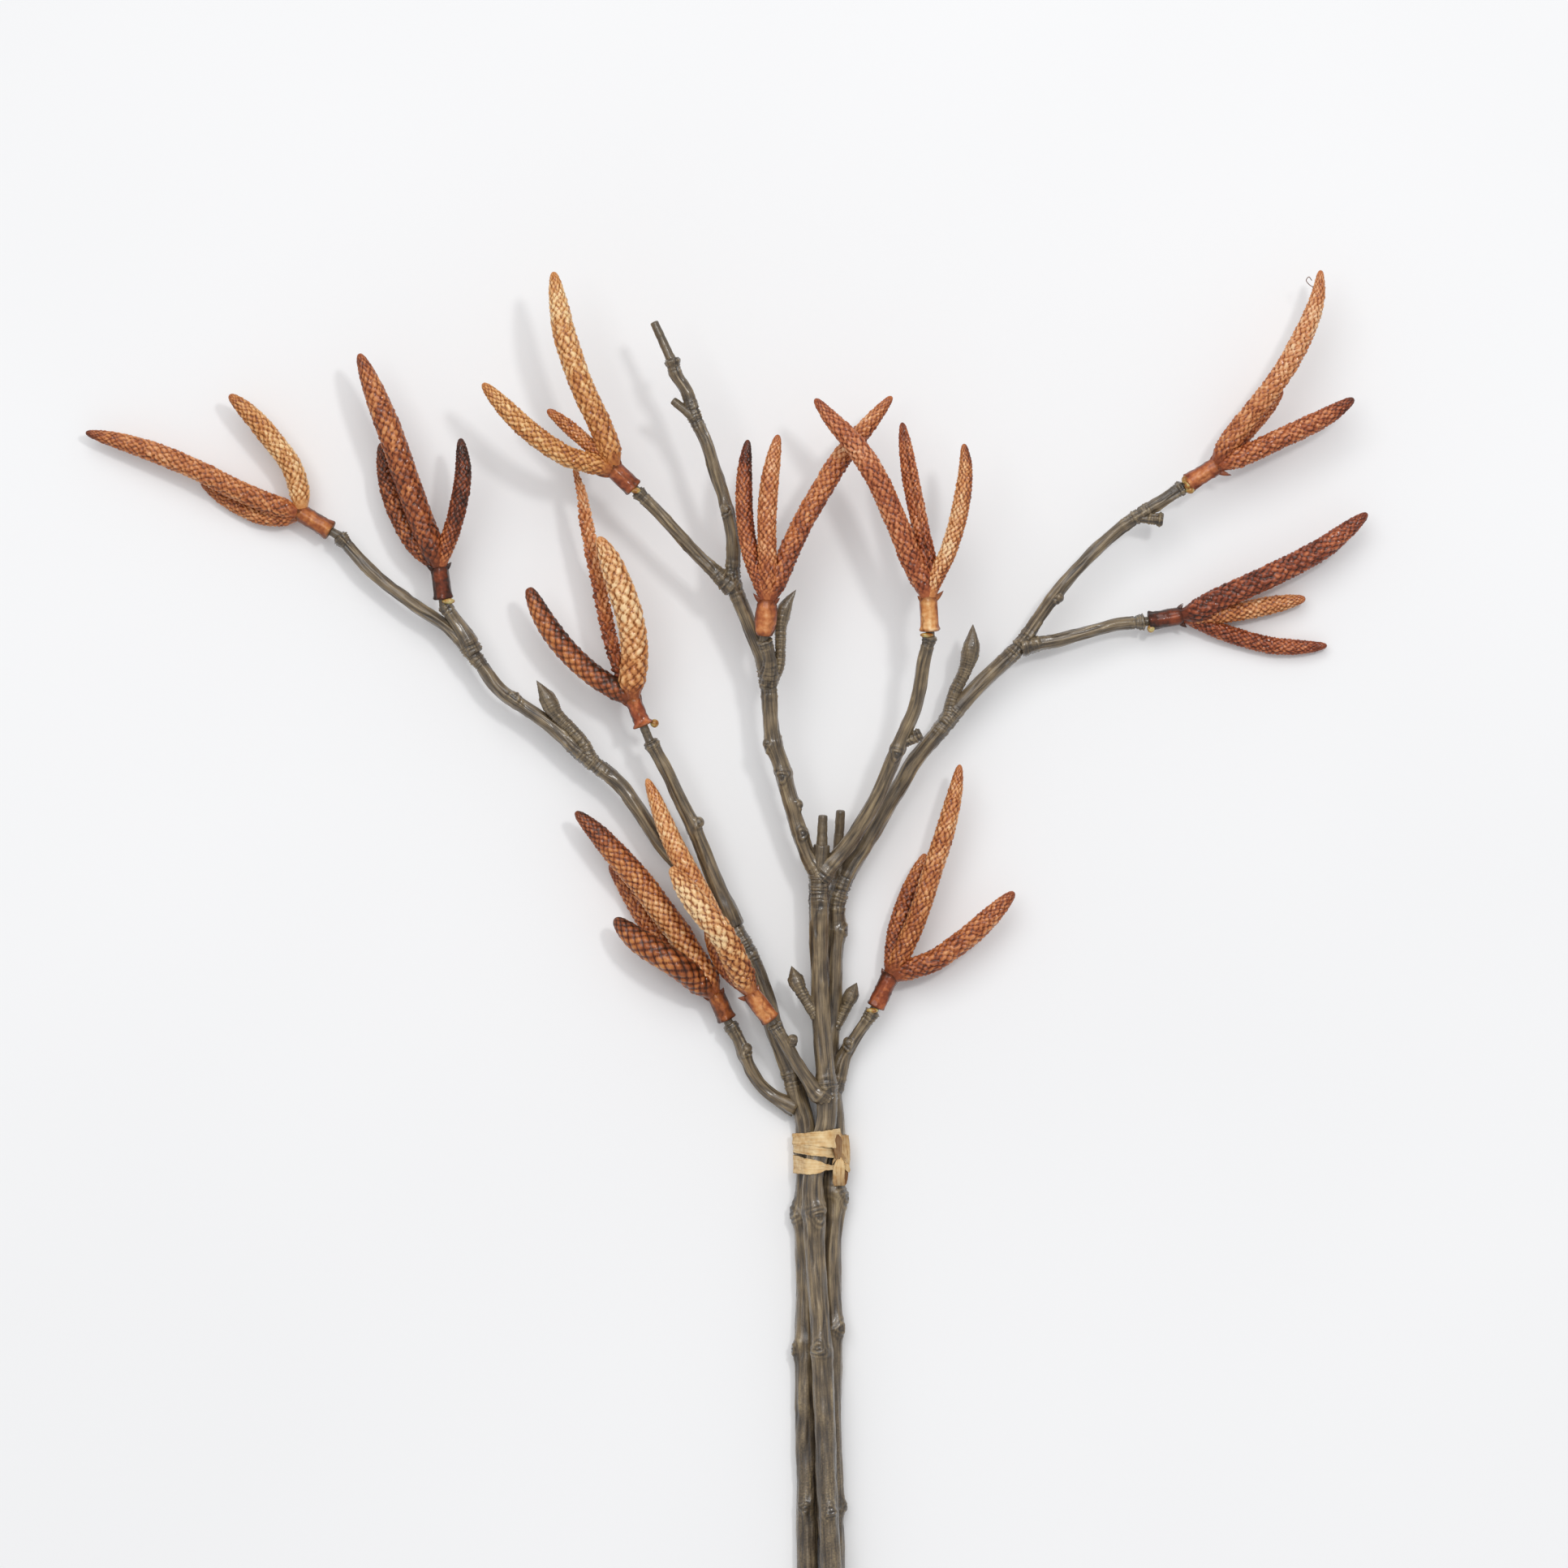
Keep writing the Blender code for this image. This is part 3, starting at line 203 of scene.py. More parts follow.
# Knots: a point, the way the knot faces and its width. A knot on a stem's middle line is an eye in
# the bark there, and a narrow one stands out as a nub.
LEFT_KNOTS = [
    ((-6.4, -24.6, 5.2), (-1.0, 0.0, 0.5), 6.0), ((-6.1, -78.0, 5.0), (-1.0, 0.1, 0.3), 5.2),
    ((-5.4, -141.0, 4.8), (-0.3, 0.2, 1.0), 4.0), ((-121.6, 179.0, 17.0), (0.4, 0.6, 0.8), 4.2),
    ((-50.3, 129.4, 18.7), (0.8, 0.3, 0.6), 3.8), ((-30.6, 39.4, 9.2), (0.5, 0.6, 0.8), 3.8),
]
MIDDLE_KNOTS = [
    ((-2.9, -24.6, 13.8), (0.4, 0.1, 1.0), 6.4), ((-0.7, -77.0, 13.8), (-0.3, 0.0, 1.0), 5.6),
    ((2.6, -141.0, 14.2), (0.3, 0.1, 1.0), 4.2), ((-8.6, 126.0, 20.9), (0.3, 0.8, 0.8), 4.2),
    ((-15.0, 149.0, 23.7), (-0.2, 0.1, 1.0), 4.6), ((-18.6, 161.0, 25.0), (-1.0, 0.2, 0.4), 3.8),
    ((-36.9, 252.6, 36.0), (-0.3, 0.3, 1.0), 3.6), ((-12.0, 42.6, 20.4), (0.3, 0.9, 0.6), 3.6),
    ((29.4, 158.0, 30.0), (0.2, 0.1, 1.0), 4.4),
    ((-11.6, 137.0, 22.1), (1.0, 0.1, 0.4), 3.7),
]
RIGHT_KNOTS = [
    ((4.6, -18.0, 5.25), (1.0, 0.0, 0.4), 6.6), ((4.2, -70.0, 5.1), (0.7, 0.0, 0.8), 5.2),
    ((4.8, -140.0, 4.9), (1.0, 0.0, 0.5), 4.0), ((11.2, 42.0, 7.8), (-0.2, 0.6, 0.9), 3.6),
    ((91.6, 219.4, 16.3), (0.9, -0.2, 0.5), 3.6), ((5.4, 88.0, 8.1), (1.0, 0.2, 0.4), 4.2),
]

# Each socket: the stem that holds it, its mouth, its closed end and how much of its peg shows
SOCKETS = {
    "a": ("left", (-193.6, 245.1, 10.5), (-206.7, 253.1, 9.6), 3.4),
    "b": ("left", (-149.1, 218.2, 18.5), (-150.7, 231.4, 19.5), 2.0),
    "c": ("middle", (-73.6, 261.4, 38.0), (-82.3, 269.8, 39.0), 1.4),
    "e": ("left", (-70.1, 168.3, 24.0), (-74.6, 179.2, 25.0), 6.4),
    "f": ("middle", (-22.4, 203.8, 37.0), (-21.1, 218.2, 39.5), 1.6),
    "g": ("middle", (42.6, 205.4, 40.3), (41.9, 219.2, 42.0), 1.8),
    "i": ("right", (144.6, 263.7, 18.0), (156.8, 271.4, 19.0), 1.8),
    "j": ("right", (129.3, 209.6, 9.7), (143.0, 211.8, 9.0), 1.6),
    "k": ("left", (-37.1, 52.2, 11.2), (-42.2, 62.9, 12.3), 1.8),
    "l": ("middle", (-19.8, 52.2, 22.3), (-28.2, 63.4, 23.8), 1.8),
    "m": ("right", (21.4, 57.3, 10.7), (27.8, 70.4, 12.0), 1.8),
}

# Where the bark is ringed and swollen, at forks and bud roots: across, along and reach
LEFT_RINGED = [(-31, 81, 9), (-91, 155.5, 12), (-137, 197, 9), (-13, 29, 6)]
MIDDLE_RINGED = [(-36.5, 225, 10), (-17.5, 187, 9), (0, 105, 11), (2.2, 25, 6), (-50, 291, 8)]
RIGHT_RINGED = [(6, 103, 11), (50, 171, 9), (79, 199.5, 10), (4, 27, 5), (126, 251, 8)]


def linear(colour):
    """A #rrggbb colour as linear red, green, blue and alpha."""
    shares = np.array([int(colour[at:at + 2], 16) for at in (1, 3, 5)]) / 255
    return (*np.where(shares <= 0.04045, shares / 12.92, ((shares + 0.055) / 1.055) ** 2.4), 1.0)


def add(material, kind, inputs=None, stops=None, **settings):
    """Adds one node. Its inputs are numbers, colours or outputs of other nodes.

    Stops are a colour ramp's places and colours, in order.
    """
    tree = material.node_tree
    node = tree.nodes.new("ShaderNode" + kind)
    for name, value in settings.items():
        setattr(node, name, value)
    for socket, value in (inputs or {}).items():
        if isinstance(value, bpy.types.NodeSocket):
            tree.links.new(value, node.inputs[socket])
        else:
            node.inputs[socket].default_value = value
    if stops:
        for place, _ in stops[1:-1]:
            node.color_ramp.elements.new(place)
        for element, (place, colour) in zip(node.color_ramp.elements, stops):
            element.position = place
            element.color = linear(colour)
    return node


def bare_material(name):
    """A new material with no nodes in it."""
    material = bpy.data.materials.new(name)
    material.use_nodes = True
    material.node_tree.nodes.clear()
    return material


def attribute(material, name, output="Fac"):
    """A value that the mesh carries at its points."""
    return add(material, "Attribute", attribute_name=name).outputs[output]


def noise(material, at, scale, detail=3.0, roughness=0.5):
    """A cloudy value of about 0.3 to 0.7. The scale is how many clouds go to a unit of length."""
    return add(material, "TexNoise", {
        "Vector": at, "Scale": scale, "Detail": detail, "Roughness": roughness}).outputs["Fac"]


def ranged(material, value, given, wanted):
    """A value moved from the given range to the wanted one, and kept inside it."""
    return add(material, "MapRange", {
        "Value": value, "From Min": given[0], "From Max": given[1], "To Min": wanted[0],
        "To Max": wanted[1]}).outputs[0]


def both(material, operation, one, other):
    """The sum or product of two values."""
    return add(material, "Math", {0: one, 1: other}, operation=operation).outputs[0]


def painted(material, shade, stops):
    """The colour that a value has on a ramp of colours."""
    return add(material, "ValToRGB", {"Fac": shade}, stops=stops).outputs["Color"]


def mixed(material, share, one, other):
    """Two colours, mixed by a share."""
    return add(material, "Mix", {0: share, 6: one, 7: other}, data_type="RGBA").outputs[2]


def bumps(material, height, strength, distance, under=None):
    """Fine relief in the shading. It can lie on another relief under it."""
    inputs = {"Height": height, "Strength": strength, "Distance": distance}
    if under:
        inputs["Normal"] = under
    return add(material, "Bump", inputs).outputs[0]


def shaded(material, inputs):
    """The material, ended with a shader that has these inputs."""
    shader = add(material, "BsdfPrincipled", inputs)
    add(material, "OutputMaterial", {"Surface": shader.outputs[0]})
    return material


def stem_polyethylene():
    """Moulded polyethylene, painted olive grey-brown, and paler where its bark stands higher.

    The eye gets long fibres of pale and dark paint, dark rings in the wrinkles, fine pores and a
    soft gloss. Well below the tie the stems are painted darker as painted shade.
    """
    material = bare_material("stem_polyethylene")
    skin = attribute(material, "skin", "Vector")
    relief = attribute(material, "relief")
    dark_paint_and_shade = attribute(material, "dark_paint_and_shade")
    # The skin is measured in millimetres round and along the stem: fibres are 0.7 mm by 17 mm
    fibres_at = add(material, "Mapping", {"Vector": skin, "Scale": (1.3, 1.3, 0.055)})
    fibres = noise(material, fibres_at.outputs[0], 1.1, 6.0, 0.75)
    patches = noise(material, skin, 0.12)
    pores = noise(material, skin, 1.5)
    blend = add(material, "Mix", {0: 0.22, 2: fibres, 3: patches}, data_type="FLOAT")
    # Bark that stands higher is painted paler, and lower bark darker
    raised = ranged(material, relief, (-0.3, 0.3), (-0.10, 0.09))
    paint = painted(material, both(material, "ADD", blend.outputs[0], raised), [
        (0.30, "#2b2218"), (0.41, "#4b3d2b"), (0.50, "#6b5a41"), (0.58, "#847052"),
        (0.70, "#a8946f")])
    # The dark in hollows and on rings, and the painted shade on the lower stems, is broken by fine
    # specks
    worn = ranged(material, pores, (0.35, 0.7), (0.2, 1.0))
    colour = mixed(material, both(material, "MULTIPLY", dark_paint_and_shade, worn), paint, linear("#2e2720"))
    grain = bumps(material, pores, 0.35, 0.0003)
    return shaded(material, {
        "Base Color": colour, "Roughness": ranged(material, fibres, (0.3, 0.7), (0.26, 0.46)),
        "IOR": 1.5, "Normal": bumps(material, fibres, 0.6, 0.0005, grain),
        "Coat Weight": 0.75, "Coat Roughness": 0.20})


def waves(at, seed, longest, count=5):
    """A smooth wandering value of about -1 to 1: a sum of sines, each shorter and weaker."""
    random = np.random.default_rng(seed)
    steps = np.arange(1, count + 1).reshape(-1, *([1] * np.ndim(at)))
    phase = random.uniform(0, 2 * np.pi, count).reshape(steps.shape)
    lengths = longest / (steps * random.uniform(0.8, 1.25, count).reshape(steps.shape))
    return (np.sin(2 * np.pi * at / lengths + phase) / np.sqrt(steps)).sum(0) / 1.6


def route_length(points):
    """Distance along a route at each of its points, from 0 at the first."""
    legs = np.diff(np.array(points, float)[:, :3], axis=0)
    return np.concatenate([[0.0], np.cumsum(np.linalg.norm(legs, axis=1))])


def along(points, stations):
    """The smooth curve through the points, read at distances from its start.

    Each leg is a cubic that takes its slope at a point from the points on both sides.
    """
    given = np.array(points, float)
    at = route_length(points)
    slopes = np.gradient(given, at, axis=0)
    leg = np.clip(np.searchsorted(at, stations, side="right") - 1, 0, len(at) - 2)
    span = (at[leg + 1] - at[leg])[:, None]
    u = (stations - at[leg])[:, None] / span
    return (
        (2 * u**3 - 3 * u**2 + 1) * given[leg]
        + (u**3 - 2 * u**2 + u) * span * slopes[leg]
        + (3 * u**2 - 2 * u**3) * given[leg + 1]
        + (u**3 - u**2) * span * slopes[leg + 1]
    )


def spaced(length, spacing):
    """Distances along a line, as close together as spacing asks at each place.

    The running sum of one over the spacing is read backwards at even steps.
    """
    fine = np.linspace(0, length, 3000)
    steps = np.concatenate([[0], np.cumsum(np.diff(fine) / spacing(fine)[1:])])
    return np.interp(np.linspace(0, steps[-1], int(steps[-1]) + 2), steps, fine)


def unit(ways):
    """Each way, made one long."""
    return ways / np.linalg.norm(ways, axis=-1, keepdims=True)


def stacked(*grids):
    """Three grids of numbers as one grid of points."""
    return np.stack(np.broadcast_arrays(*grids), axis=-1)


def turns(columns):
    """Angles round a tube, from its top over its right side."""
    return np.arange(columns)[None, :] * (2 * np.pi / columns)


def circles(path, radii, upward, right):
    """Points round a path: the radius times up by the angle's cosine and right by its sine."""
    turn = turns(radii.shape[1])[..., None]
    return path[:, None] + radii[..., None] * (upward * np.cos(turn) + right * np.sin(turn))


def tube(path, radii, values, last=None):
    """A closed skin round a path: the points, end points and surface values of one tube.

    Up is as near to upright as it can be across the path. Radii have a row for each point of the
    path and a column for each angle, and values have the same or are one number.
    """
    forward = unit(np.gradient(path, axis=0))
    upward = unit(UPRIGHT - forward * forward[:, 2:])
    turn = turns(radii.shape[1])
    mean = float(radii.mean())
    return {
        "rings": circles(path, radii, upward[:, None], np.cross(forward, upward)[:, None]),
        "skin": stacked(mean * np.cos(turn), mean * np.sin(turn), route_length(path)[:, None]),
        "values": values, "first": path[0], "last": path[-1] if last is None else last,
    }


def skin_mesh(name, tubes, material):
    """One mesh of closed tubes: each ring's points joined to the next ring's, with end fans."""
    points, skins, quads, fans = [], [], [], []
    values = {key: [] for key in tubes[0]["values"]}
    start = 0
    for part in tubes:
        rows, columns = part["rings"].shape[:2]
        grid = start + np.arange(rows * columns).reshape(rows, columns)
        beside = np.roll(grid, -1, axis=1)
        quads.append(np.stack([grid[:-1], beside[:-1], beside[1:], grid[1:]], -1).reshape(-1, 4))
        first = start + rows * columns
        last = first + 1
        fans.append(np.stack([np.full(columns, first), beside[0], grid[0]], -1))
        fans.append(np.stack([np.full(columns, last), grid[-1], beside[-1]], -1))
        points.append(part["rings"].reshape(-1, 3))
        points.append(np.array([part["first"], part["last"]]))
        skins.append(part["skin"].reshape(-1, 3))
        skins.append(np.array([part["skin"][0].mean(0), part["skin"][-1].mean(0)]))
        for key, value in part["values"].items():
            value = np.broadcast_to(value, (rows, columns))
            values[key].append(value.reshape(-1))
            values[key].append(np.array([value[0].mean(), value[-1].mean()]))
        start = last + 1
    mesh = bpy.data.meshes.new(name)
    mesh.from_pydata(
        (np.concatenate(points) * MM).tolist(), [],
        np.concatenate(quads).tolist() + np.concatenate(fans).tolist())
    mesh.attributes.new("skin", "FLOAT_VECTOR", "POINT").data.foreach_set(
        "vector", np.concatenate(skins).astype(np.float32).ravel())
    for key, value in values.items():
        mesh.attributes.new(key, "FLOAT", "POINT").data.foreach_set(
            "value", np.concatenate(value).astype(np.float32))
    mesh.shade_smooth()
    mesh.materials.append(material)
    piece = bpy.data.objects.new(name, mesh)
    bpy.context.scene.collection.objects.link(piece)
    return piece


def ringed_amount(path, ringed, ends):
    """How wrinkled the bark is along a stem, 0 to 1: near the listed places and twig ends."""
    amount = ends
    for across, along_y, reach in ringed:
        away = np.hypot(path[:, 0] - across, path[:, 1] - along_y)
        amount = np.maximum(amount, np.exp(-(away / reach) ** 2 * 1.2))
    return amount


def across_bark(turn, angle, radius):
    """How far each point is from a line along the bark, across it: the radius times a sine."""
    off = (turn - angle + np.pi) % (2 * np.pi) - np.pi
    return radius * np.sin(np.clip(off, -1.5, 1.5))


def bark(stations, radius, amount, eyes, seed):
    """How far the bark and its knots stand proud of a round stem, and how dark the bark is.

    The bark is a section slightly out of round, wandering lengthwise ridges and sharp creases,
    ring wrinkles where the amount is large, and small raised pores. A knot swells like a bell
    curve and has rings round a pit.
    """
    turn = turns(STEM_COLUMNS)
    s = stations[:, None]
    random = np.random.default_rng(seed)
    height = OVAL * radius * np.cos(2 * turn + 2.5 * waves(s, seed + 1, 130))
    height += THREE_SIDED * radius * np.cos(3 * turn + 2.5 * waves(s, seed + 2, 90))
    for ridge in range(5, 12):
        height += RIDGE_HEIGHT * np.cos(ridge * turn + 2.5 * waves(s, seed + ridge, 110, 4))
    height += 0.06 * waves(s, seed + 20, 26, 4)
    wobble = 0.35 * np.sin(2 * turn + 3 * waves(s, seed + 30, 14)) + 0.22 * np.sin(
        5 * turn + 4 * waves(s, seed + 31, 9))
    rings = np.sin(2 * np.pi * (s + wobble + 0.9 * waves(s, seed + 32, 10)) / RING_PITCH)
    broken = 0.5 + 0.5 * np.cos(2 * turn + 6 * waves(s, seed + 34, 7))
    height += amount[:, None] * (RING_HEIGHT * rings * broken + 0.25 * waves(s, seed + 33, 5))
    dark = 0.8 * amount[:, None] ** 1.3 * (0.75 - 0.45 * rings * broken)
    for crease in range(4):
        angle = crease * 1.6 + 0.5 * waves(s, seed + 60 + crease, 90)
        from_it = across_bark(turn, angle, radius)
        there = np.clip(0.3 + 1.4 * waves(s, seed + 70 + crease, 60), 0, 1)
        line = there * np.exp(-(from_it / CREASE_HALF_WIDTH) ** 2)
        height -= CREASE_DEPTH * line
        dark += 0.40 * line
    pores = max(3, int(stations[-1] / PORE_PITCH))
    at = random.uniform(3, stations[-1] - 3, pores)
    side = random.uniform(0, 2 * np.pi, pores)
    for place, angle in zip(at, side):
        near = np.cos(turn - angle) > 0.6
        away = ((s - place) / 0.55) ** 2 + (radius * np.sin(turn - angle) / 0.8) ** 2
        height += PORE_HEIGHT * near * np.exp(-away)
    swelling = np.zeros_like(height)
    for place, angle, width in eyes:
        aside = across_bark(turn, angle, radius)
        away = np.sqrt(((s - place) / (0.75 * width)) ** 2 + (aside / (0.55 * width)) ** 2)
        away = away * (1 + 0.2 * np.sin(3 * np.arctan2(s - place, aside) + place))
        inside = np.exp(-away**2 * 1.1)
        eye_rings = np.cos(2 * np.pi * away * width / KNOT_RING_PITCH)
        swelling += KNOT_SWELLING * width * inside
        height += KNOT_RING_HEIGHT * inside * eye_rings
        height -= KNOT_PIT * np.exp(-(away / 0.22) ** 2)
        dark += inside * (0.55 - 0.40 * eye_rings) + 0.3 * np.exp(-(away / 0.25) ** 2)
    return height, swelling, np.clip(dark, 0, 1)


def eyes_on(line, stations, knots):
    """The knots that sit on this stem, as distance along it, angle round it and width."""
    found = []
    for place, way, width in knots:
        away = np.linalg.norm(line[:, :3] - np.array(place), axis=1)
        if away.min() < 1.5:
            found.append((stations[away.argmin()], np.arctan2(way[0], way[2]), width))
    return found


def stem_tube(route, ringed, knots, seed, parent=None):
    """One length of stem: its route's thickness, the bark on it, and a collar at its end.

    Rows of points are closer where the bark is ringed, and wider apart below the tie. The collar
    is a bell curve of extra radius just short of the end, which is rounded over.
    """
    length = route_length(route)[-1]
    at = np.linspace(0, length, 600)
    rough = along(route, at)[:, :3]

    def end_amount(s):
        """How wrinkled the collar makes the bark, by the distance left to the end."""
        return np.clip(1 - (length - s) / COLLAR_REACH, 0, 1) ** 0.7

    eyes = eyes_on(rough, at, knots)
    amount_at = ringed_amount(rough, ringed, end_amount(at))
    for place, _, width in eyes:
        amount_at = np.maximum(amount_at, np.exp(-((at - place) / width) ** 2))

    def spacing(s):
        """The distance from row to row."""
        plain = np.where(np.interp(s, at, rough[:, 1]) < -12, LOWER_ROW, PLAIN_ROW)
        return plain + (RINGED_ROW - plain) * np.clip(1.6 * np.interp(s, at, amount_at), 0, 1)

    stations = spaced(length, spacing)
    stations = np.concatenate([
        stations[stations < length - 0.7], length - np.array([0.6, 0.2, 0])])
    line = along(route, stations)
    path = line[:, :3]
    radius = line[:, 3:] / 2
    amount = ringed_amount(path, ringed, end_amount(stations))
    height, swelling, dark = bark(stations, radius, amount, eyes, seed)
    radii = radius + height + swelling - 0.10
    radii = radii + 0.10 * radius * amount[:, None]
    to_end = (length - stations)[:, None]
    radii = radii + COLLAR_HEIGHT * np.exp(-((to_end - 1.4) / 1.5) ** 2)
    radii[-2:] = radii[-2:] * np.array([[0.93], [0.78]])
    if parent is not None:
        radii = radii + fork_fillet(path, parent)
    # Well below the tie the stems are painted darker, as painted shade where the light falls off
    lower = np.clip((DARKER_BELOW - path[:, 1:2]) / DARKER_OVER, 0, 1)
    return tube(path, radii, {"relief": height, "dark_paint_and_shade": np.clip(dark + LOWER_PAINTED_SHADE * lower, 0, 1)})


def fork_fillet(path, parent):
    """Extra radius where a twig leaves its parent: it dies away with distance from the bark."""
    line = along(parent, np.linspace(0, route_length(parent)[-1], 700))
    away = np.linalg.norm(path[:, None] - line[None, :, :3], axis=2)
    nearest = away.argmin(axis=1)
    clear = away[np.arange(len(path)), nearest] - line[nearest, 3] / 2
    return FILLET_HEIGHT * np.exp(-np.maximum(clear, 0) / FILLET_REACH)[:, None]


def peg_tube(root, tip, thick_root, thick_tip, seed, dark_paint_and_shade=0.35):
    """A bare peg: nearly straight, faintly faceted, with a worn end."""
    root, tip = np.array(root), np.array(tip)
    length = np.linalg.norm(tip - root)
    stations = np.concatenate([
        np.arange(0, length - 0.7, 0.6), length - np.array([0.6, 0.25, 0])])
    path = root + (tip - root) * (stations / length)[:, None]
    turn = turns(PEG_COLUMNS)
    radii = np.interp(stations, [0, length], [thick_root / 2, thick_tip / 2])[:, None]
    height = 0.07 * np.cos(5 * turn + waves(stations[:, None], seed, 20)) + 0.06 * waves(
        stations[:, None], seed + 1, 6)
    radii = radii * (1 + 0.25 * np.exp(-stations / 2.0))[:, None] + height - 0.05
    radii[-2:] = radii[-2:] * np.array([[0.9], [0.62]])
    return tube(path, radii, {"relief": height, "dark_paint_and_shade": dark_paint_and_shade})


def bud_tube(route, width, seed):
    """A bud on its stalk: ringed below, fullest at two thirds, with the edges of its bracts.

    The bracts are half-waves along the bud that shift with the angle, so each edge runs slanting
    round it.
    """
    length = route_length(route)[-1]
    stations = np.concatenate([
        np.arange(0, length - 0.8, RINGED_ROW), [length - 0.4, length - 0.1]])
    share = stations / length
    fullness = np.interp(
        share, [0, 0.16, 0.40, 0.58, 0.70, 0.80, 0.89, 1.0],
        [1.0, 0.84, 0.80, 0.90, 1.18, 1.10, 0.66, 0.08])
    path = along(route, stations)
    turn = turns(BUD_COLUMNS)
    s = stations[:, None]
    head = 0.65 * np.clip((share - 0.62) / 0.10, 0, 1)[:, None]
    rings = 0.5 + 0.5 * np.sin(2 * np.pi * (
        s + 0.25 * np.sin(2 * turn + seed) + 0.4 * waves(s, seed + 1, 6)) / 1.15)
    leaf = (s / (0.36 * length) + 0.30 * np.cos(2 * turn + seed)) % 1
    height = (1 - head) * 0.30 * rings + head * 0.35 * (leaf**2 - 0.3)
    height += 0.05 * np.cos(7 * turn + 3 * waves(s, seed, 12))
    height *= np.clip((length - s) / 2.5, 0.1, 1)
    radii = np.maximum(fullness[:, None] * width / 2 - 0.22 + height, 0.06)
    dark_paint_and_shade = (1 - head) * (0.85 - 0.6 * rings) + head * np.clip(0.35 - height, 0.05, 0.8)
    return tube(path, radii, {"relief": height, "dark_paint_and_shade": dark_paint_and_shade})


def nub_tube(place, way, width, seed):
    """A nub: a small round lump on the stem, like a cap of a ball, with a wrinkle or two.

    It can point straight up, where a tube has no upward side, so its rings lie about its own two
    ways.
    """
    place, way = np.array(place), unit(np.array(way))
    share = np.linspace(0.1, 0.98, 14)
    path = place + way * width * 1.25 * share[:, None]
    turn = turns(PEG_COLUMNS)
    rings = 0.09 * np.sin(2 * np.pi * share * width / 1.3 + seed)[:, None] + 0.14 * np.cos(
        2 * turn + seed) + 0.08 * np.cos(3 * turn + 2 * seed + 3 * share[:, None])
    radii = (0.62 * (1 - share**5) ** 0.5)[:, None] * (width + 1.2 * rings)
    aside = unit(np.cross(way, [0.0, 1.0, 0.1]))
    return {
        "rings": circles(path, radii, aside, np.cross(way, aside)),
        "skin": stacked(2 * np.cos(turn), 2 * np.sin(turn), share[:, None] * width),
        "values": {"relief": rings, "dark_paint_and_shade": np.clip(0.35 - 1.5 * rings, 0.0, 1.0)},
        "first": path[0], "last": path[-1] + way * 0.05,
    }


def socket_axis(mouth, end):
    """A socket's mouth, the way from it to the closed end, and how long that is."""
    mouth, end = np.array(mouth), np.array(end)
    length = np.linalg.norm(end - mouth)
    return mouth, (end - mouth) / length, length


def with_end(route, letter, thickness=5.0):
    """A twig's route, ended in line with the socket that it carries."""
    _, mouth, end, showing = SOCKETS[letter]
    mouth, ahead, _ = socket_axis(mouth, end)
    return route + [(*(mouth - ahead * showing), thickness)]


def branch(side, main, end_letter, twigs, buds, rods, stubs, knots, ringed, seed):
    """One whole stem: main line, twigs, buds, bare pegs, ringed stubs, nubs, pegs in sockets.

    The main line may end in a cluster of its own, and each twig is listed by its cluster.
    """
    own = with_end(main, end_letter) if end_letter else main
    tubes = [stem_tube(own, ringed, knots, seed)]
    for step, (letter, route) in enumerate(twigs.items()):
        tubes.append(stem_tube(with_end(route, letter), ringed, knots, seed + 50 + step, main))
    tubes += [bud_tube(route, width, seed + step) for step, (route, width) in enumerate(buds)]
    tubes += [peg_tube(*sizes, seed + step) for step, sizes in enumerate(rods)]
    tubes += [
        stem_tube(route, [(*route[1][:2], 12)], [], seed + 70 + step)
        for step, route in enumerate(stubs)]
    tubes += [
        nub_tube(*sizes, seed + step) for step, sizes in enumerate(knots)
        if sizes[2] < WIDEST_NUB]
    for letter, (holder, mouth, end, showing) in SOCKETS.items():
        if holder == side:
            mouth, ahead, length = socket_axis(mouth, end)
            tip = mouth + ahead * (length - CLOSED_END - PEG_SHORT_OF_BORE)
            root = mouth - ahead * (showing + 2)
            tubes.append(peg_tube(root, tip, PEG_DIAMETER, PEG_DIAMETER, ord(letter), 0.6))
    piece = skin_mesh("moulded_stem_" + side, tubes, stem_finish)
    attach(piece, "root")
    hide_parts("stem_" + side)
    return piece


stem_finish = stem_polyethylene()
branch(
    "left", LEFT_MAIN, "a", {"b": TWIG_B, "e": TWIG_E, "k": TWIG_K},
    [(LEFT_BUD, 6.1)], [], [], LEFT_KNOTS, LEFT_RINGED, 100)
branch(
    "middle", MIDDLE_MAIN, None, {"c": TWIG_C, "f": TWIG_F, "g": TWIG_G, "l": TWIG_L},
    [(FRONT_BUD, 5.4), (LOW_BUD, 5.8)],
    [TOP_PEG, TOP_STUB, FORK_KNUCKLE, FORK_PEG], [G_STUB], MIDDLE_KNOTS, MIDDLE_RINGED, 300)
branch(
    "right", RIGHT_MAIN, "i", {"j": TWIG_J, "m": TWIG_M},
    [(RIGHT_BUD, 5.6), (TALL_BUD, 6.4)],
    [RIGHT_PEG, RIGHT_PEG_TIP], [I_STUB], RIGHT_KNOTS, RIGHT_RINGED, 500)

# Catkin clusters
#
# Soft vinyl, moulded in one piece from real alder catkins: a tubular socket that is pushed on a
# peg, and three scaly catkins that grow out of its closed end. They are painted ochre to rust
# and washed with dark brown.

# Points round a catkin, a socket and a bract, and rows on a socket's rim and shoulder
CATKIN_COLUMNS = 64
SOCKET_COLUMNS = 56
BRACT_COLUMNS = 12
RIM_ROWS = 8
SHOULDER_ROWS = 7
# The socket, with the length over which it closes at its shoulder
SOCKET_RADIUS = 3.7
MOUTH_RADIUS = 4.0
BORE_RADIUS = 2.25
BORE_MOUTH_RADIUS = 2.7
SHOULDER = 2.2
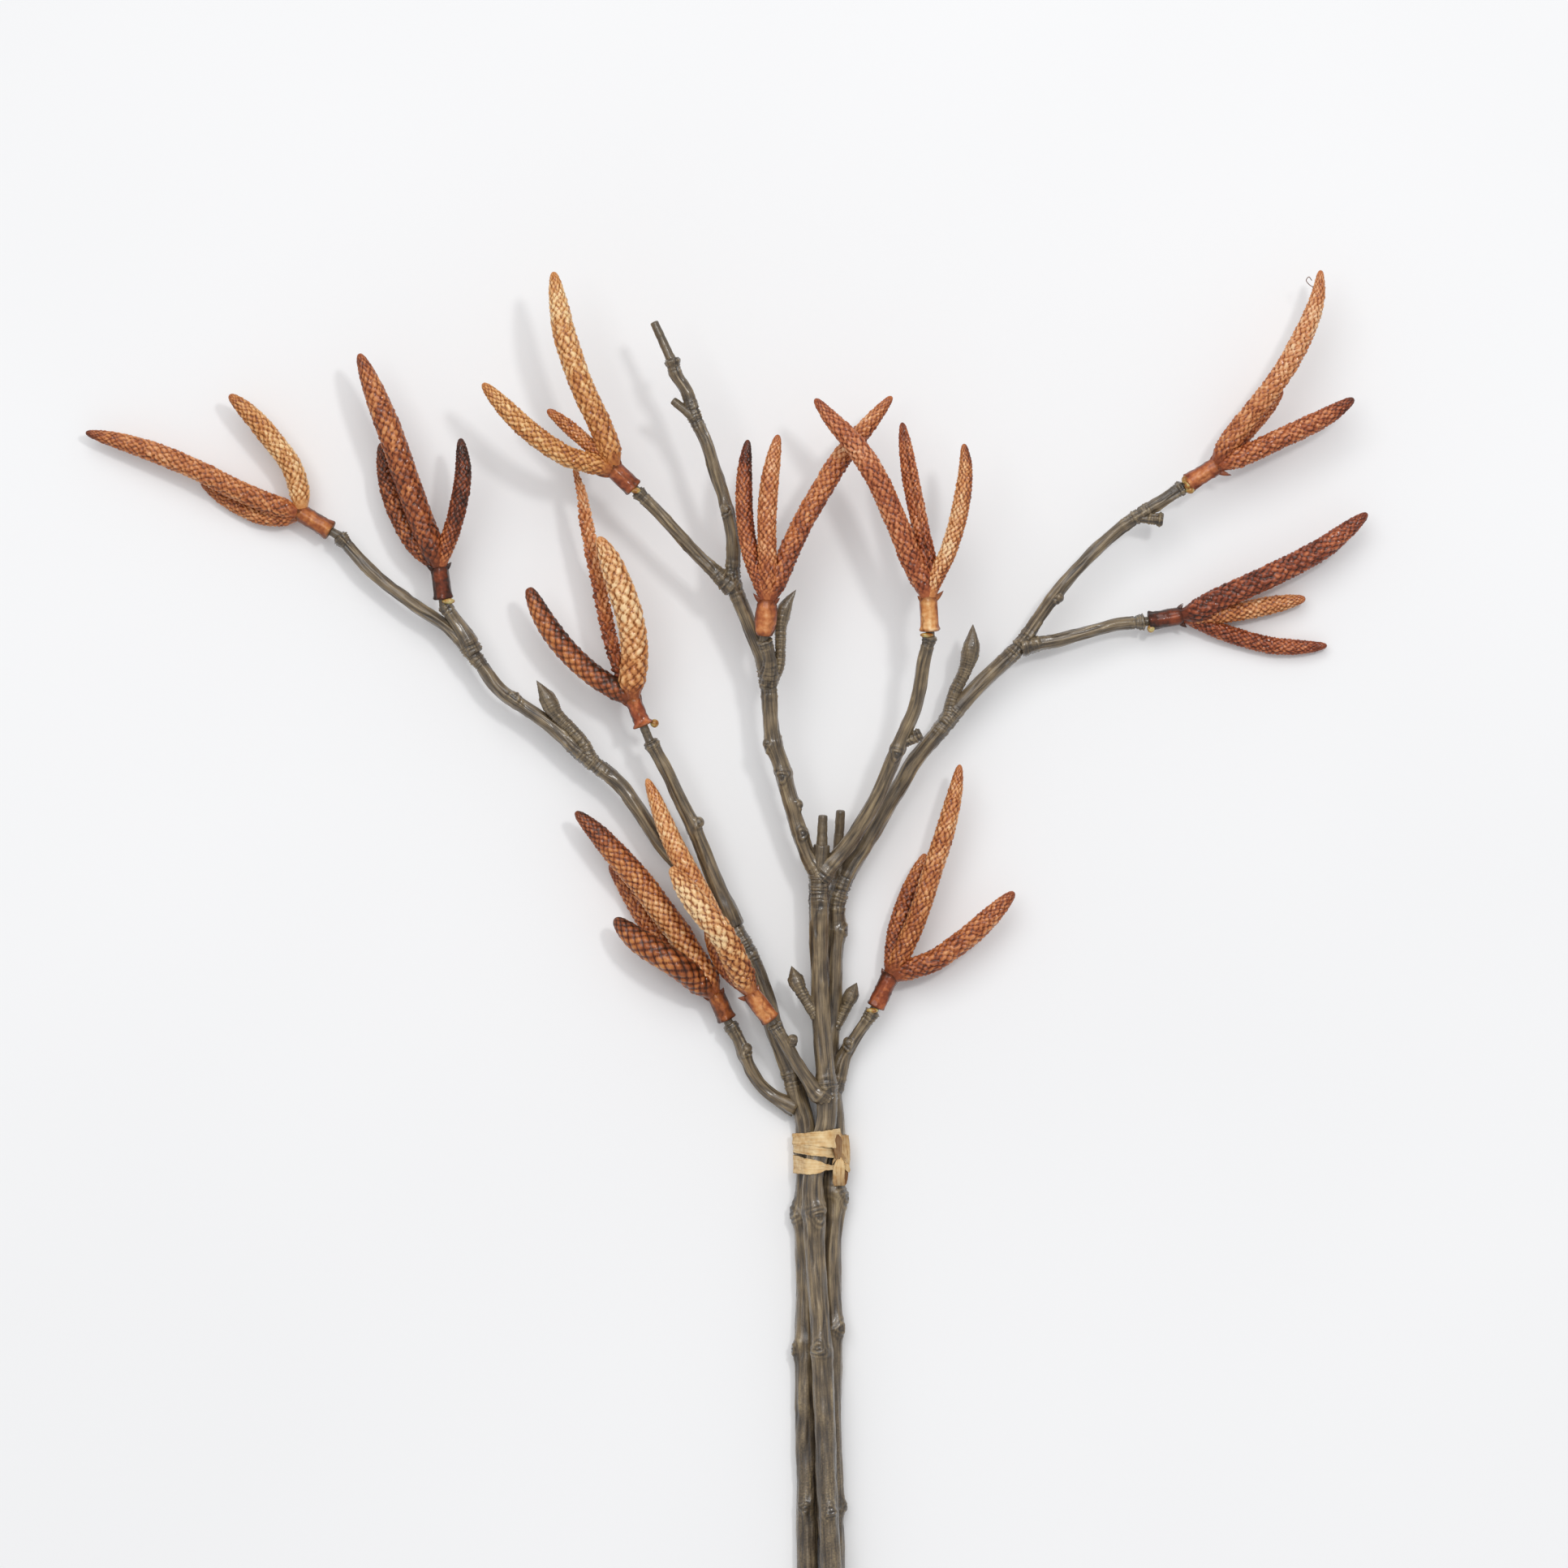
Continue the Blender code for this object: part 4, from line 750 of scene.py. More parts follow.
# A catkin: where its root lies behind the socket's end, its neck, the share of its length where
# it begins to close, its deepest groove, and its rows of points along it and at its tip
ROOT_BEHIND_END = 2.0
NECK_RADIUS = 1.9
NECK_LENGTH = 9.0
TIP_STARTS = 0.6
GROOVE_DEPTH = 1.1
CATKIN_ROW = 0.56
TIP_ROW = 0.16

# Three catkins to a cluster, each with its width, and the heights and the middle line that it
# passes through, tip first
CATKINS = {
    "a": [
        (9.5, (8.0, 11.0, 12.4, 10.0), [
            (-290.6, 284.2), (-275.5, 280.3), (-260.5, 275.2), (-246.7, 269.4),
            (-232.0, 262.1), (-216.5, 255.6)]),
        (9.5, (15.0, 15.0, 14.0, 11.0), [
            (-233.6, 298.9), (-225.0, 290.9), (-216.0, 280.3), (-209.0, 270.4),
            (-206.2, 261.6)]),
        (8.0, (4.1, 4.1, 4.3, 7.0), [
            (-245.1, 264.6), (-229.8, 254.9), (-220.2, 250.8), (-212.6, 250.4)]),
    ],
    "b": [
        (11.0, (25.0, 25.0, 23.0, 20.6), [
            (-182.1, 314.9), (-174.7, 296.3), (-169.0, 281.6), (-163.5, 265.6),
            (-157.8, 249.6), (-153.0, 237.5)]),
        (8.6, (14.0, 14.0, 14.4, 17.6), [
            (-173.8, 280.0), (-171.5, 265.6), (-166.7, 250.9), (-160.0, 239.6),
            (-154.8, 234.6)]),
        (8.0, (24.0, 25.0, 24.0, 21.0), [
            (-142.1, 281.6), (-141.1, 267.8), (-143.0, 255.3), (-146.4, 242.9),
            (-149.0, 236.4)]),
    ],
    "c": [
        (10.5, (41.0, 42.0, 42.0, 40.0), [
            (-105.3, 346.6), (-103.4, 334.7), (-101.1, 322.6), (-97.3, 310.4),
            (-92.5, 297.9), (-87.4, 287.4), (-83.8, 278.4)]),
        (9.3, (43.0, 44.0, 43.0, 40.4), [
            (-133.1, 302.7), (-125.8, 294.7), (-117.8, 286.7), (-108.8, 279.4),
            (-98.9, 273.6), (-89.4, 271.0)]),
        (7.0, (36.0, 35.4, 36.0, 38.0), [
            (-107.8, 292.5), (-101.4, 287.4), (-94.7, 281.6), (-87.4, 275.3)]),
    ],
    "e": [
        (9.3, (27.0, 24.0, 21.5, 21.5, 23.6), [
            (-97.3, 269.8), (-94.7, 260.5), (-92.5, 248.3), (-90.2, 236.2),
            (-87.0, 220.8), (-83.8, 205.1), (-80.0, 192.0), (-76.8, 184.4)]),
        (11.8, (34.0, 32.5, 31.5, 29.0, 26.0), [
            (-87.7, 242.6), (-82.9, 232.6), (-79.0, 222.1), (-75.5, 211.5),
            (-73.9, 201.6), (-73.6, 193.6), (-74.6, 185.0)]),
        (9.3, (21.0, 21.0, 21.4, 23.4), [
            (-115.5, 222.7), (-110.1, 211.5), (-103.4, 201.6), (-96.0, 193.6),
            (-88.6, 187.4), (-80.9, 182.6)]),
    ],
    "f": [
        (8.0, (41.0, 40.6, 40.4, 40.0), [
            (-28.9, 280.6), (-30.0, 270.4), (-30.4, 258.2), (-29.7, 246.1),
            (-27.2, 233.6), (-23.7, 224.4)]),
        (8.6, (42.0, 43.0, 43.0, 41.0), [
            (-17.0, 282.6), (-18.9, 273.0), (-20.5, 262.4), (-21.4, 249.9),
            (-21.4, 237.8), (-21.1, 224.6)]),
        (10.0, (30.6, 31.6, 34.5, 39.6), [
            (27.8, 297.9), (19.8, 288.3), (13.1, 280.3), (6.7, 272.0), (0.3, 261.4),
            (-6.4, 249.9), (-12.2, 237.8), (-17.6, 225.0)]),
    ],
    "g": [
        (10.3, (43.6, 47.0, 47.4, 46.4, 43.0), [
            (-2.6, 296.6), (4.2, 288.3), (10.9, 281.0), (16.6, 273.6), (22.4, 264.0),
            (27.2, 253.4), (31.4, 243.5), (35.2, 233.6), (39.9, 224.0)]),
        (8.0, (41.0, 41.0, 41.0, 42.0), [
            (31.7, 287.4), (33.3, 276.2), (35.2, 264.6), (37.4, 253.4), (39.4, 243.5),
            (41.6, 233.6), (42.1, 225.4)]),
        (8.0, (42.0, 44.0, 44.0, 43.0), [
            (56.0, 279.0), (56.6, 270.4), (55.4, 258.2), (52.8, 246.1), (49.3, 235.5),
            (44.4, 225.4)]),
    ],
    "i": [
        (10.0, (24.0, 24.6, 23.4, 20.6), [
            (196.8, 347.8), (195.8, 338.6), (193.3, 329.9), (188.8, 320.0), (183.4, 310.1),
            (177.3, 301.1), (171.2, 293.4), (165.1, 286.0), (159.4, 277.9)]),
        (9.3, (17.0, 18.6, 20.0, 19.8), [
            (210.2, 297.3), (200.3, 290.9), (190.4, 285.8), (180.5, 281.3),
            (171.5, 276.9), (162.6, 273.2)]),
        (8.0, (12.6, 13.0, 14.4, 17.4), [
            (182.0, 301.0), (176.0, 293.6), (168.8, 285.4), (161.0, 276.2)]),
    ],
    "j": [
        (10.5, (11.0, 12.8, 13.2, 10.4), [
            (215.7, 252.2), (207.0, 245.1), (197.1, 237.8), (185.9, 231.7), (176.0, 226.9),
            (165.1, 222.0), (155.2, 217.4), (148.2, 213.6)]),
        (8.5, (7.0, 7.0, 7.2, 8.6), [
            (191.4, 218.6), (180.5, 216.6), (169.6, 214.3), (159.7, 212.7),
            (149.2, 212.0)]),
        (8.0, (4.1, 4.1, 4.4, 7.4), [
            (200.0, 200.0), (189.4, 199.4), (177.3, 200.2), (166.1, 203.0),
            (156.2, 206.4), (147.6, 210.2)]),
    ],
    "k": [
        (11.0, (15.0, 15.4, 15.4, 14.4, 13.0), [
            (-97.0, 134.4), (-88.3, 125.8), (-79.4, 115.8), (-71.0, 106.2), (-63.0, 95.4),
            (-56.3, 86.4), (-50.9, 77.4), (-45.2, 69.0)]),
        (9.0, (5.4, 5.4, 6.0, 11.0), [
            (-83.6, 113.6), (-75.4, 101.6), (-67.9, 89.4), (-58.6, 77.4),
            (-48.0, 68.4)]),
        (11.0, (14.6, 18.0, 21.0, 14.6), [
            (-81.6, 92.2), (-73.6, 84.8), (-66.2, 79.7), (-57.9, 74.6), (-48.4, 67.4)]),
    ],
    "l": [
        (9.0, (25.4, 24.4, 24.2, 25.4, 24.2), [
            (-68.8, 147.5), (-65.3, 138.9), (-61.8, 129.9), (-57.9, 121.0), (-53.4, 112.6),
            (-48.6, 104.0), (-40.6, 88.0), (-32.4, 70.4)]),
        (11.8, (33.6, 35.4, 35.0, 26.0), [
            (-59.2, 112.6), (-53.1, 103.7), (-46.7, 95.4), (-40.0, 87.4), (-35.2, 79.0),
            (-30.8, 69.4)]),
        (8.0, (16.6, 16.8, 18.4, 22.4), [
            (-44.8, 93.0), (-41.6, 81.6), (-37.6, 73.4), (-31.6, 67.2)]),
    ],
    "m": [
        (9.0, (18.0, 17.6, 17.0, 13.0), [
            (54.7, 153.0), (52.8, 142.1), (50.2, 131.5), (47.0, 120.6), (43.2, 109.1),
            (40.0, 98.6), (36.8, 89.9), (31.0, 77.0)]),
        (8.5, (7.6, 7.6, 8.0, 11.0), [
            (41.3, 117.8), (36.8, 107.2), (32.6, 96.6), (29.6, 86.4), (28.4, 76.8)]),
        (10.0, (13.0, 13.6, 14.0, 12.6), [
            (76.2, 102.7), (69.1, 95.4), (61.8, 88.3), (53.4, 81.6), (44.8, 75.8),
            (34.6, 72.0)]),
    ],
}

# How each cluster is painted and shaped. A tone runs from root to tip, light 0 to dark 1, and red
# is from golden 0 to rust 1. A socket can have a bulge or a waist and its own mouth radius, and
# bracts are angles from the top and lengths.
#
# For a catkin, depth is how deep the grooves are and net how wide, lift is how far the tips of the
# scales stand off, around and pitch are the scales' number and length, stray is how far their
# rows wander, and blunt is how round the tip is. The sides painted darker as painted shade, and
# the seams, which are mould lines, are given by angle from the top. What a look leaves out is as
# in the plain one.
PLAIN_CATKIN = {
    "around": 9, "pitch": 1.0, "stray": 1.0, "lift": 0.4, "depth": 0.92, "net": 0.61,
    "blunt": 0.46, "painted_shade_sides": [], "seams": []}
CATKIN_LOOKS = {
    "a": {"socket": {"tone": 0.52, "red": 0.3}, "bracts": [(1.2, 3.6), (-1.3, 3.0), (0.1, 2.6)],
          "catkins": [
        {"tones": (0.60, 0.48, 0.40, 0.46, 0.72), "red": 0.55, "lift": 0.5, "depth": 0.85},
        {"tones": (0.42, 0.17, 0.20, 0.38, 0.46), "red": 0.20, "lift": 0.35},
        {"tones": (0.60, 0.48, 0.44, 0.48, 0.60), "red": 0.45, "lift": 0.5}]},
    "b": {"socket": {"tone": 0.84, "red": 0.8}, "bracts": [(1.4, 3.2), (-1.2, 3.4)],
          "catkins": [
        {"tones": (0.80, 0.72, 0.58, 0.50, 0.60), "red": 0.50, "lift": 0.42, "depth": 0.65,
         "seams": [(0.3, 0.35)]},
        {"tones": (0.72, 0.64, 0.70, 0.74, 0.80), "red": 0.35, "lift": 0.3},
        {"tones": (0.64, 0.54, 0.80, 0.92, 0.96), "red": 0.60, "lift": 0.3}]},
    "c": {"socket": {"tone": 0.54, "red": 0.7, "bulge": 0.2},
          "bracts": [(-1.5, 4.6), (1.3, 3.0), (0.2, 2.4)], "catkins": [
        {"tones": (0.50, 0.42, 0.28, 0.21, 0.26), "red": 0.15, "lift": 0.45, "depth": 0.8},
        {"tones": (0.70, 0.40, 0.32, 0.30, 0.38), "red": 0.08, "lift": 0.3},
        {"tones": (0.70, 0.55, 0.42, 0.44, 0.56), "red": 0.40}]},
    "e": {"socket": {"tone": 0.54, "red": 0.9, "bulge": -0.5, "mouth": 4.7},
          "bracts": [(-1.4, 2.8), (2.0, 2.2)], "catkins": [
        {"tones": (0.88, 0.72, 0.40, 0.22, 0.34), "red": 0.60, "lift": 1.0, "depth": 1.5,
         "around": 6, "pitch": 0.85, "painted_shade_sides": [(-1.2, 0.22)], "seams": [(-0.5, 0.5)]},
        {"tones": (0.74, 0.32, 0.19, 0.19, 0.28), "red": 0.30, "lift": 0.25, "around": 8},
        {"tones": (0.82, 0.66, 0.50, 0.54, 0.62), "red": 0.40, "lift": 0.12, "depth": 0.55,
         "around": 8, "pitch": 1.05, "stray": 0.3, "blunt": 0.36, "painted_shade_sides": [(1.2, 0.42)]}]},
    "f": {"socket": {"tone": 0.41, "red": 0.6, "bulge": 0.8, "mouth": 3.4},
          "bracts": [(-1.5, 4.2), (1.4, 3.0)], "catkins": [
        {"tones": (0.60, 0.56, 0.46, 0.62, 0.90), "red": 0.70,
         "painted_shade_sides": [(1.4, 0.34)]},
        {"tones": (0.46, 0.46, 0.38, 0.33, 0.40), "red": 0.65, "depth": 0.8,
         "seams": [(-0.3, -0.5)]},
        {"tones": (0.62, 0.54, 0.44, 0.36, 0.46), "red": 0.62, "lift": 0.6, "depth": 0.95,
         "painted_shade_sides": [(1.4, 0.20)]}]},
    "g": {"socket": {"tone": 0.30, "red": 0.2, "mouth": 4.2}, "bracts": [(1.5, 4.4), (-1.3, 2.4)],
          "catkins": [
        {"tones": (0.58, 0.50, 0.44, 0.44, 0.56), "red": 0.85, "lift": 0.5, "depth": 0.9},
        {"tones": (0.66, 0.66, 0.46, 0.46, 0.60), "red": 0.80, "depth": 0.8,
         "seams": [(0.1, -0.9)]},
        {"tones": (0.42, 0.20, 0.16, 0.34, 0.52), "red": 0.40,
         "painted_shade_sides": [(1.4, 0.36)]}]},
    "i": {"socket": {"tone": 0.44, "red": 0.7}, "bracts": [(1.5, 4.6), (-1.4, 2.6), (0.3, 2.2)],
          "catkins": [
        {"tones": (0.76, 0.46, 0.32, 0.22, 0.40), "red": 0.60, "lift": 0.7, "depth": 0.95,
         "blunt": 0.48},
        {"tones": (0.66, 0.46, 0.50, 0.56, 0.88), "red": 0.80,
         "seams": [(0.0, 0.32)]},
        {"tones": (0.80, 0.68, 0.50, 0.44, 0.56), "red": 0.70, "lift": 0.5}]},
    "j": {"socket": {"tone": 0.80, "red": 0.8}, "bracts": [(1.4, 3.0), (-1.4, 3.0)],
          "catkins": [
        {"tones": (0.78, 0.72, 0.68, 0.64, 0.74), "red": 0.92,
         "seams": [(0.4, 0.28)]},
        {"tones": (0.70, 0.52, 0.36, 0.36, 0.40), "red": 0.50, "lift": 0.3},
        {"tones": (0.74, 0.62, 0.62, 0.56, 0.70), "red": 0.85}]},
    "k": {"socket": {"tone": 0.62, "red": 0.05}, "bracts": [(-1.4, 3.0), (1.2, 2.6)],
          "catkins": [
        {"tones": (0.72, 0.28, 0.30, 0.54, 0.84), "red": 0.35, "lift": 0.2, "depth": 0.85,
         "around": 10, "stray": 0.5, "net": 0.58, "seams": [(-0.35, 0.55)],
         "painted_shade_sides": [(1.5, 0.24)]},
        {"tones": (0.70, 0.60, 0.54, 0.46, 0.60), "red": 0.50, "lift": 0.3},
        {"tones": (0.70, 0.66, 0.56, 0.56, 0.66), "red": 0.15, "lift": 0.08, "depth": 0.6,
         "around": 8, "pitch": 1.0, "stray": 0.3, "net": 0.64, "painted_shade_sides": [(1.4, 0.28)]}]},
    "l": {"socket": {"tone": 0.41, "red": 0.4, "bulge": 0.2}, "bracts": [(-1.5, 3.4), (1.6, 2.6)],
          "catkins": [
        {"tones": (0.54, 0.38, 0.32, 0.24, 0.32), "red": 0.30, "lift": 0.3, "depth": 0.5,
         "net": 0.5},
        {"tones": (0.60, 0.36, 0.10, 0.12, 0.26), "red": 0.22, "lift": 0.5, "depth": 1.1,
         "around": 8, "net": 0.70, "painted_shade_sides": [(1.4, 0.26)]},
        {"tones": (0.82, 0.64, 0.54, 0.44, 0.46), "red": 0.40, "lift": 0.2, "depth": 0.4}]},
    "m": {"socket": {"tone": 0.62, "red": 0.8}, "bracts": [(1.4, 3.2), (-1.4, 2.6)],
          "catkins": [
        {"tones": (0.60, 0.49, 0.38, 0.34, 0.40), "red": 0.45, "depth": 0.8},
        {"tones": (0.66, 0.62, 0.58, 0.54, 0.38), "red": 0.55,
         "painted_shade_sides": [(1.4, 0.30)]},
        {"tones": (0.68, 0.60, 0.50, 0.46, 0.56), "red": 0.62, "lift": 0.45}]},
}

# Paint from light to dark: ochre on the golden catkins and rust on the red ones
OCHRE_PAINT = [
    (0.0, "#f5d39a"), (0.15, "#e4b072"), (0.30, "#d09050"), (0.45, "#b9743c"),
    (0.60, "#9a552c"), (0.75, "#784022"), (0.90, "#57311f"), (1.0, "#3e271c")]
RUST_PAINT = [
    (0.0, "#f2c6a4"), (0.15, "#e3a27a"), (0.30, "#ce7f53"), (0.45, "#b3613b"),
    (0.60, "#90452a"), (0.75, "#70321d"), (0.90, "#4e261a"), (1.0, "#37211a")]


def catkin_vinyl(name, wash, roughness):
    """Soft moulded vinyl, painted and then washed with thin brown, which stays in the grooves.

    The eye gets scale tops of ochre and orange with a wet gloss, and a dark net between them. The
    tone also carries painted highlight, which makes the scale tops paler, and painted shade, which
    darkens some sides of the catkins and of the sockets.
    """
    material = bare_material(name)
    at = add(material, "TexCoord").outputs["Object"]
    tone = attribute(material, "tone")
    # Clouds of paint about 6 mm and 1.5 mm across, in object space, which is in metres
    clouds = noise(material, at, 150.0)
    specks = noise(material, at, 750.0)
    uneven = both(
        material, "ADD", ranged(material, clouds, (0.3, 0.7), (-0.13, 0.13)),
        ranged(material, specks, (0.3, 0.7), (-0.08, 0.08)))
    shade = both(material, "ADD", tone, uneven)
    paint = mixed(
        material, attribute(material, "red"), painted(material, shade, OCHRE_PAINT),
        painted(material, shade, RUST_PAINT))
    # The wash lies in the grooves, with fine specks where it didn't hold; in the sockets' bores
    # the same dark is painted shade
    washed = ranged(material, specks, (0.25, 0.6), (0.75, 1.0))
    depth = both(material, "MULTIPLY", attribute(material, "groove"), washed)
    dark = mixed(material, shade, linear(wash[0]), linear(wash[1]))
    gloss = ranged(material, clouds, (0.3, 0.7), (roughness - 0.08, roughness + 0.10))
    return shaded(material, {
        "Base Color": mixed(material, depth, paint, dark), "Roughness": gloss, "IOR": 1.5,
        "Specular IOR Level": 0.14, "Normal": bumps(material, specks, 0.4, 0.0002),
        "Coat Weight": 0.5, "Coat Roughness": 0.10})


def scale_net(turn, climb, around, roundness, seed):
    """The lattice of scales: crossing spirals of rising count, cut into diamond cells.

    It gives each point's height on its pillow, which is a product of two parabolas, how near it
    is to its scale's tip, and a steady random value for each scale.
    """
    u = around * turn / (2 * np.pi) + climb
    v = around * turn / (2 * np.pi) - climb
    part_u, part_v = u % 1, v % 1
    pillow = (16 * part_u * (1 - part_u) * part_v * (1 - part_v)) ** roundness
    toward_tip = (part_u - part_v + 1) / 2
    row = np.floor(u) - np.floor(v)
    place = np.floor(u) % around
    chance = np.sin(row * 12.9898 + place * 78.233 + seed) * 43758.5453 % 1
    return pillow, toward_tip, chance


def catkin_line(mouth, end, heights, route):
    """The catkin's middle line from inside its socket's closed end to its tip."""
    mouth, ahead, length = socket_axis(mouth, end)
    root = mouth + ahead * (length - ROOT_BEHIND_END)
    flat = np.array(route[::-1])
    share = route_length(np.column_stack([flat, np.zeros(len(flat))]))
    lifts = np.interp(share / share[-1], np.linspace(0, 1, len(heights)), heights[::-1])
    return np.vstack([root, np.column_stack([flat, lifts])])


def catkin_tube(line, width, look, seed):
    """One catkin: a slim spindle whose skin is a net of raised scales, shrinking to its tip.

    Its radius eases from the neck to the full width, and closes as the root of one less a square.
    The scales' rows are as far apart as the spindle is thick, within limits.
    """
    look = {**PLAIN_CATKIN, **look}
    length = route_length(line)[-1]
    stations = spaced(length, lambda s: np.where(s > length - 2.5, TIP_ROW, CATKIN_ROW))[:-1]
    path = along(line, stations)
    turn = turns(CATKIN_COLUMNS)
    s = stations[:, None]
    rising = np.clip(s / NECK_LENGTH, 0, 1)
    neck = NECK_RADIUS + (width / 2 - NECK_RADIUS) * (3 * rising**2 - 2 * rising**3)
    neck = neck + 1.1 * np.exp(-s / 1.6)
    closing = np.clip((s / length - TIP_STARTS) / (1 - TIP_STARTS), 0, 1)
    spindle = neck * (1 - closing**2) ** look["blunt"]
    share = spindle / (width / 2)
    around = look["around"]
    pitch = look["pitch"] * np.pi * width / around
    local = pitch * (0.40 + 0.60 * np.clip(share[:, 0], 0, 1))
    climb = np.concatenate([[0], np.cumsum(np.diff(stations) / local[1:])])[:, None]
    stray = look["stray"]
    climb = climb + stray * (0.14 * waves(s, seed, 22) + 0.10 * np.sin(
        3 * turn + 3 * waves(s, seed + 1, 15)))
    bent = turn + stray * (0.07 * np.sin(2 * turn + 4 * waves(s, seed + 2, 24)) + 0.12 * waves(
        s, seed + 3, 30))
    lift = look["lift"]
    pillow, toward_tip, chance = scale_net(bent, climb, around, 0.50 - 0.22 * lift, seed)
    fade = np.clip((s - 3.0) / 4.0, 0, 1) * np.clip((length - s) / 5.0 + 0.25, 0, 1)
    height = pillow**1.5 * (1 - lift + 2 * lift * toward_tip) * (0.88 + 0.24 * chance)
    depth = GROOVE_DEPTH * look["depth"] * share**0.8 * fade
    radii = spindle - depth * (1 + lift - height)
    groove = np.clip((look["net"] - pillow) / 0.30, 0, 1) * fade
    tone = np.interp(s / length, [0.0, 0.14, 0.5, 0.85, 1.0], look["tones"])
    # Each scale has a tone of its own, and is painted paler on its pillow and toward its tip, a
    # painted highlight where its top catches the light
    tone = tone + 0.18 * (chance - 0.5) * fade
    tone = tone - (0.46 * (pillow - 0.65) + 0.10 * (toward_tip - 0.5)) * fade
    # Painted shade: each listed side is painted darker, as a side turned from the light
    for angle, amount in look["painted_shade_sides"]:
        tone = tone + amount * np.clip(np.cos(turn - angle), 0, 1) ** 2 * fade
    for angle, rise in look["seams"]:
        from_seam = spindle * np.sin(np.clip(turn - angle, -np.pi / 2, np.pi / 2))
        from_seam = np.where(np.cos(turn - angle) > 0, from_seam, 99)
        seam = np.exp(-(from_seam / 0.55) ** 2) * np.clip((s - 4) / 6, 0, 1)
        radii = radii + rise * seam * share
        groove = groove + (0.7 if rise < 0 else -0.35) * seam
    radii = np.clip(radii, 0.12, spindle)
    return tube(
        path, radii, {"tone": tone, "groove": np.clip(groove, 0, 1), "red": look["red"]},
        last=np.array(line[-1]))


def socket_tube(mouth, end, look, seed):
    """The tubular socket: bore, rim and outside in one profile, from the bore's bottom outwards.

    Its radius is the profile's plus lengthwise ridges and a bulge or waist, which is a half-sine.
    The ridges are cosines round the socket. Dark wash lies in three creases and on the rim and the
    shoulder, and the bore is painted dark as painted shade. Seen from above, its sides are painted
    darker as painted shade and its raised parts paler as painted highlight.
    """
    mouth, ahead, length = socket_axis(mouth, end)
    depth = length - CLOSED_END
    bulge = look.get("bulge", 0.0)
    rim = np.linspace(np.pi, 0, RIM_ROWS)
    mouth_radius = look.get("mouth", MOUTH_RADIUS)
    rim_middle = (BORE_MOUTH_RADIUS + mouth_radius) / 2
    rim_half = (mouth_radius - BORE_MOUTH_RADIUS) / 2
    outside = np.arange(0.8, length - SHOULDER, 0.45)
    fall = np.linspace(0.15, 1, SHOULDER_ROWS) * np.pi / 2
    places = np.concatenate([
        [depth, depth * 0.6, 1.2, 0.7], 0.6 - 0.6 * np.sin(rim), outside,
        length - SHOULDER + 2.6 * np.sin(fall)])
    profile = np.concatenate([
        [BORE_RADIUS, BORE_RADIUS, BORE_RADIUS, BORE_MOUTH_RADIUS - 0.15],
        rim_middle + rim_half * np.cos(rim),
        np.interp(outside, [0.8, 1.8, 4.0], [mouth_radius, SOCKET_RADIUS, SOCKET_RADIUS - 0.05])
        + bulge * np.sin(np.pi * np.clip(outside / length, 0, 1)),
        SOCKET_RADIUS * (0.30 + 0.70 * np.cos(fall) ** 0.8)])
    outer = np.concatenate([
        np.zeros(4), np.linspace(0, 1, RIM_ROWS), np.ones(len(outside) + SHOULDER_ROWS)])[:, None]
    turn = turns(SOCKET_COLUMNS)
    d = places[:, None]
    ridges = sum(
        np.cos(count * turn + 1.2 * waves(d, seed + count, 30)) for count in (3, 5, 8, 11)) / 4
    lumps = 0.35 * waves(d, seed, 9) * np.cos(2 * turn + seed)
    near_mouth = np.exp(-((d - 1.0) / 1.6) ** 2)
    height = outer * (0.22 * ridges + 0.30 * lumps + 0.25 * near_mouth * np.cos(4 * turn + seed))
    radii = profile[:, None] + height - 0.12 * outer
    upward = unit(UPRIGHT - ahead * ahead[2])
    # Painted shade and highlight: seen from above, the sides are painted darker and raised parts
    # paler
    tone = look["tone"] - 0.02 + 0.05 * waves(d, seed + 40, 16) + 0.35 * np.sin(turn) ** 4
    tone = tone - 0.35 * height * outer
    bent = turn - seed - 0.3 * waves(d, seed + 9, 20)
    crease = sum(
        np.exp(-(SOCKET_RADIUS * np.sin((bent - angle) / 2) / 0.22) ** 2)
        for angle in (0.7, 2.9, 4.6))
    # Dark wash in the creases, on the rim and on the shoulder; the bore, where outer is 0, is
    # painted dark as painted shade
    edge = 0.55 * crease * outer + 0.75 * np.exp(-((d - 0.1) / 0.8) ** 2) * outer
    edge = edge + 0.85 * np.clip((d - length + 2.6) / 2.4, 0, 1) * outer + 0.8 * (1 - outer)
    return {
        "rings": circles(mouth + ahead * d, radii, upward, np.cross(ahead, upward)),
        "skin": stacked(SOCKET_RADIUS * np.cos(turn), SOCKET_RADIUS * np.sin(turn), d),
        "values": {"tone": tone, "groove": np.clip(edge, 0, 0.95), "red": look["red"]},
        "first": mouth + ahead * depth, "last": mouth + ahead * (length + 0.5),
    }


def bract_tube(root, ahead, aside, length, tone, red):
    """A small dry bract: a flat pointed leaf that springs from the socket's shoulder.

    Its middle line bends outwards, and its section is a circle squeezed by a squared sine.
    """
    share = np.linspace(0, 1, BRACT_COLUMNS)
    path = root + length * (
        ahead * (share * 0.75)[:, None] + aside * (share**0.8 * 0.9)[:, None])
    thinning = (1.15 * (1 - share**1.6) + 0.06)[:, None]
    radii = thinning * (0.45 + 0.55 * np.sin(turns(BRACT_COLUMNS)) ** 2)
    return tube(path, radii, {"tone": tone, "groove": 0.3 + 0.6 * share[:, None], "red": red})


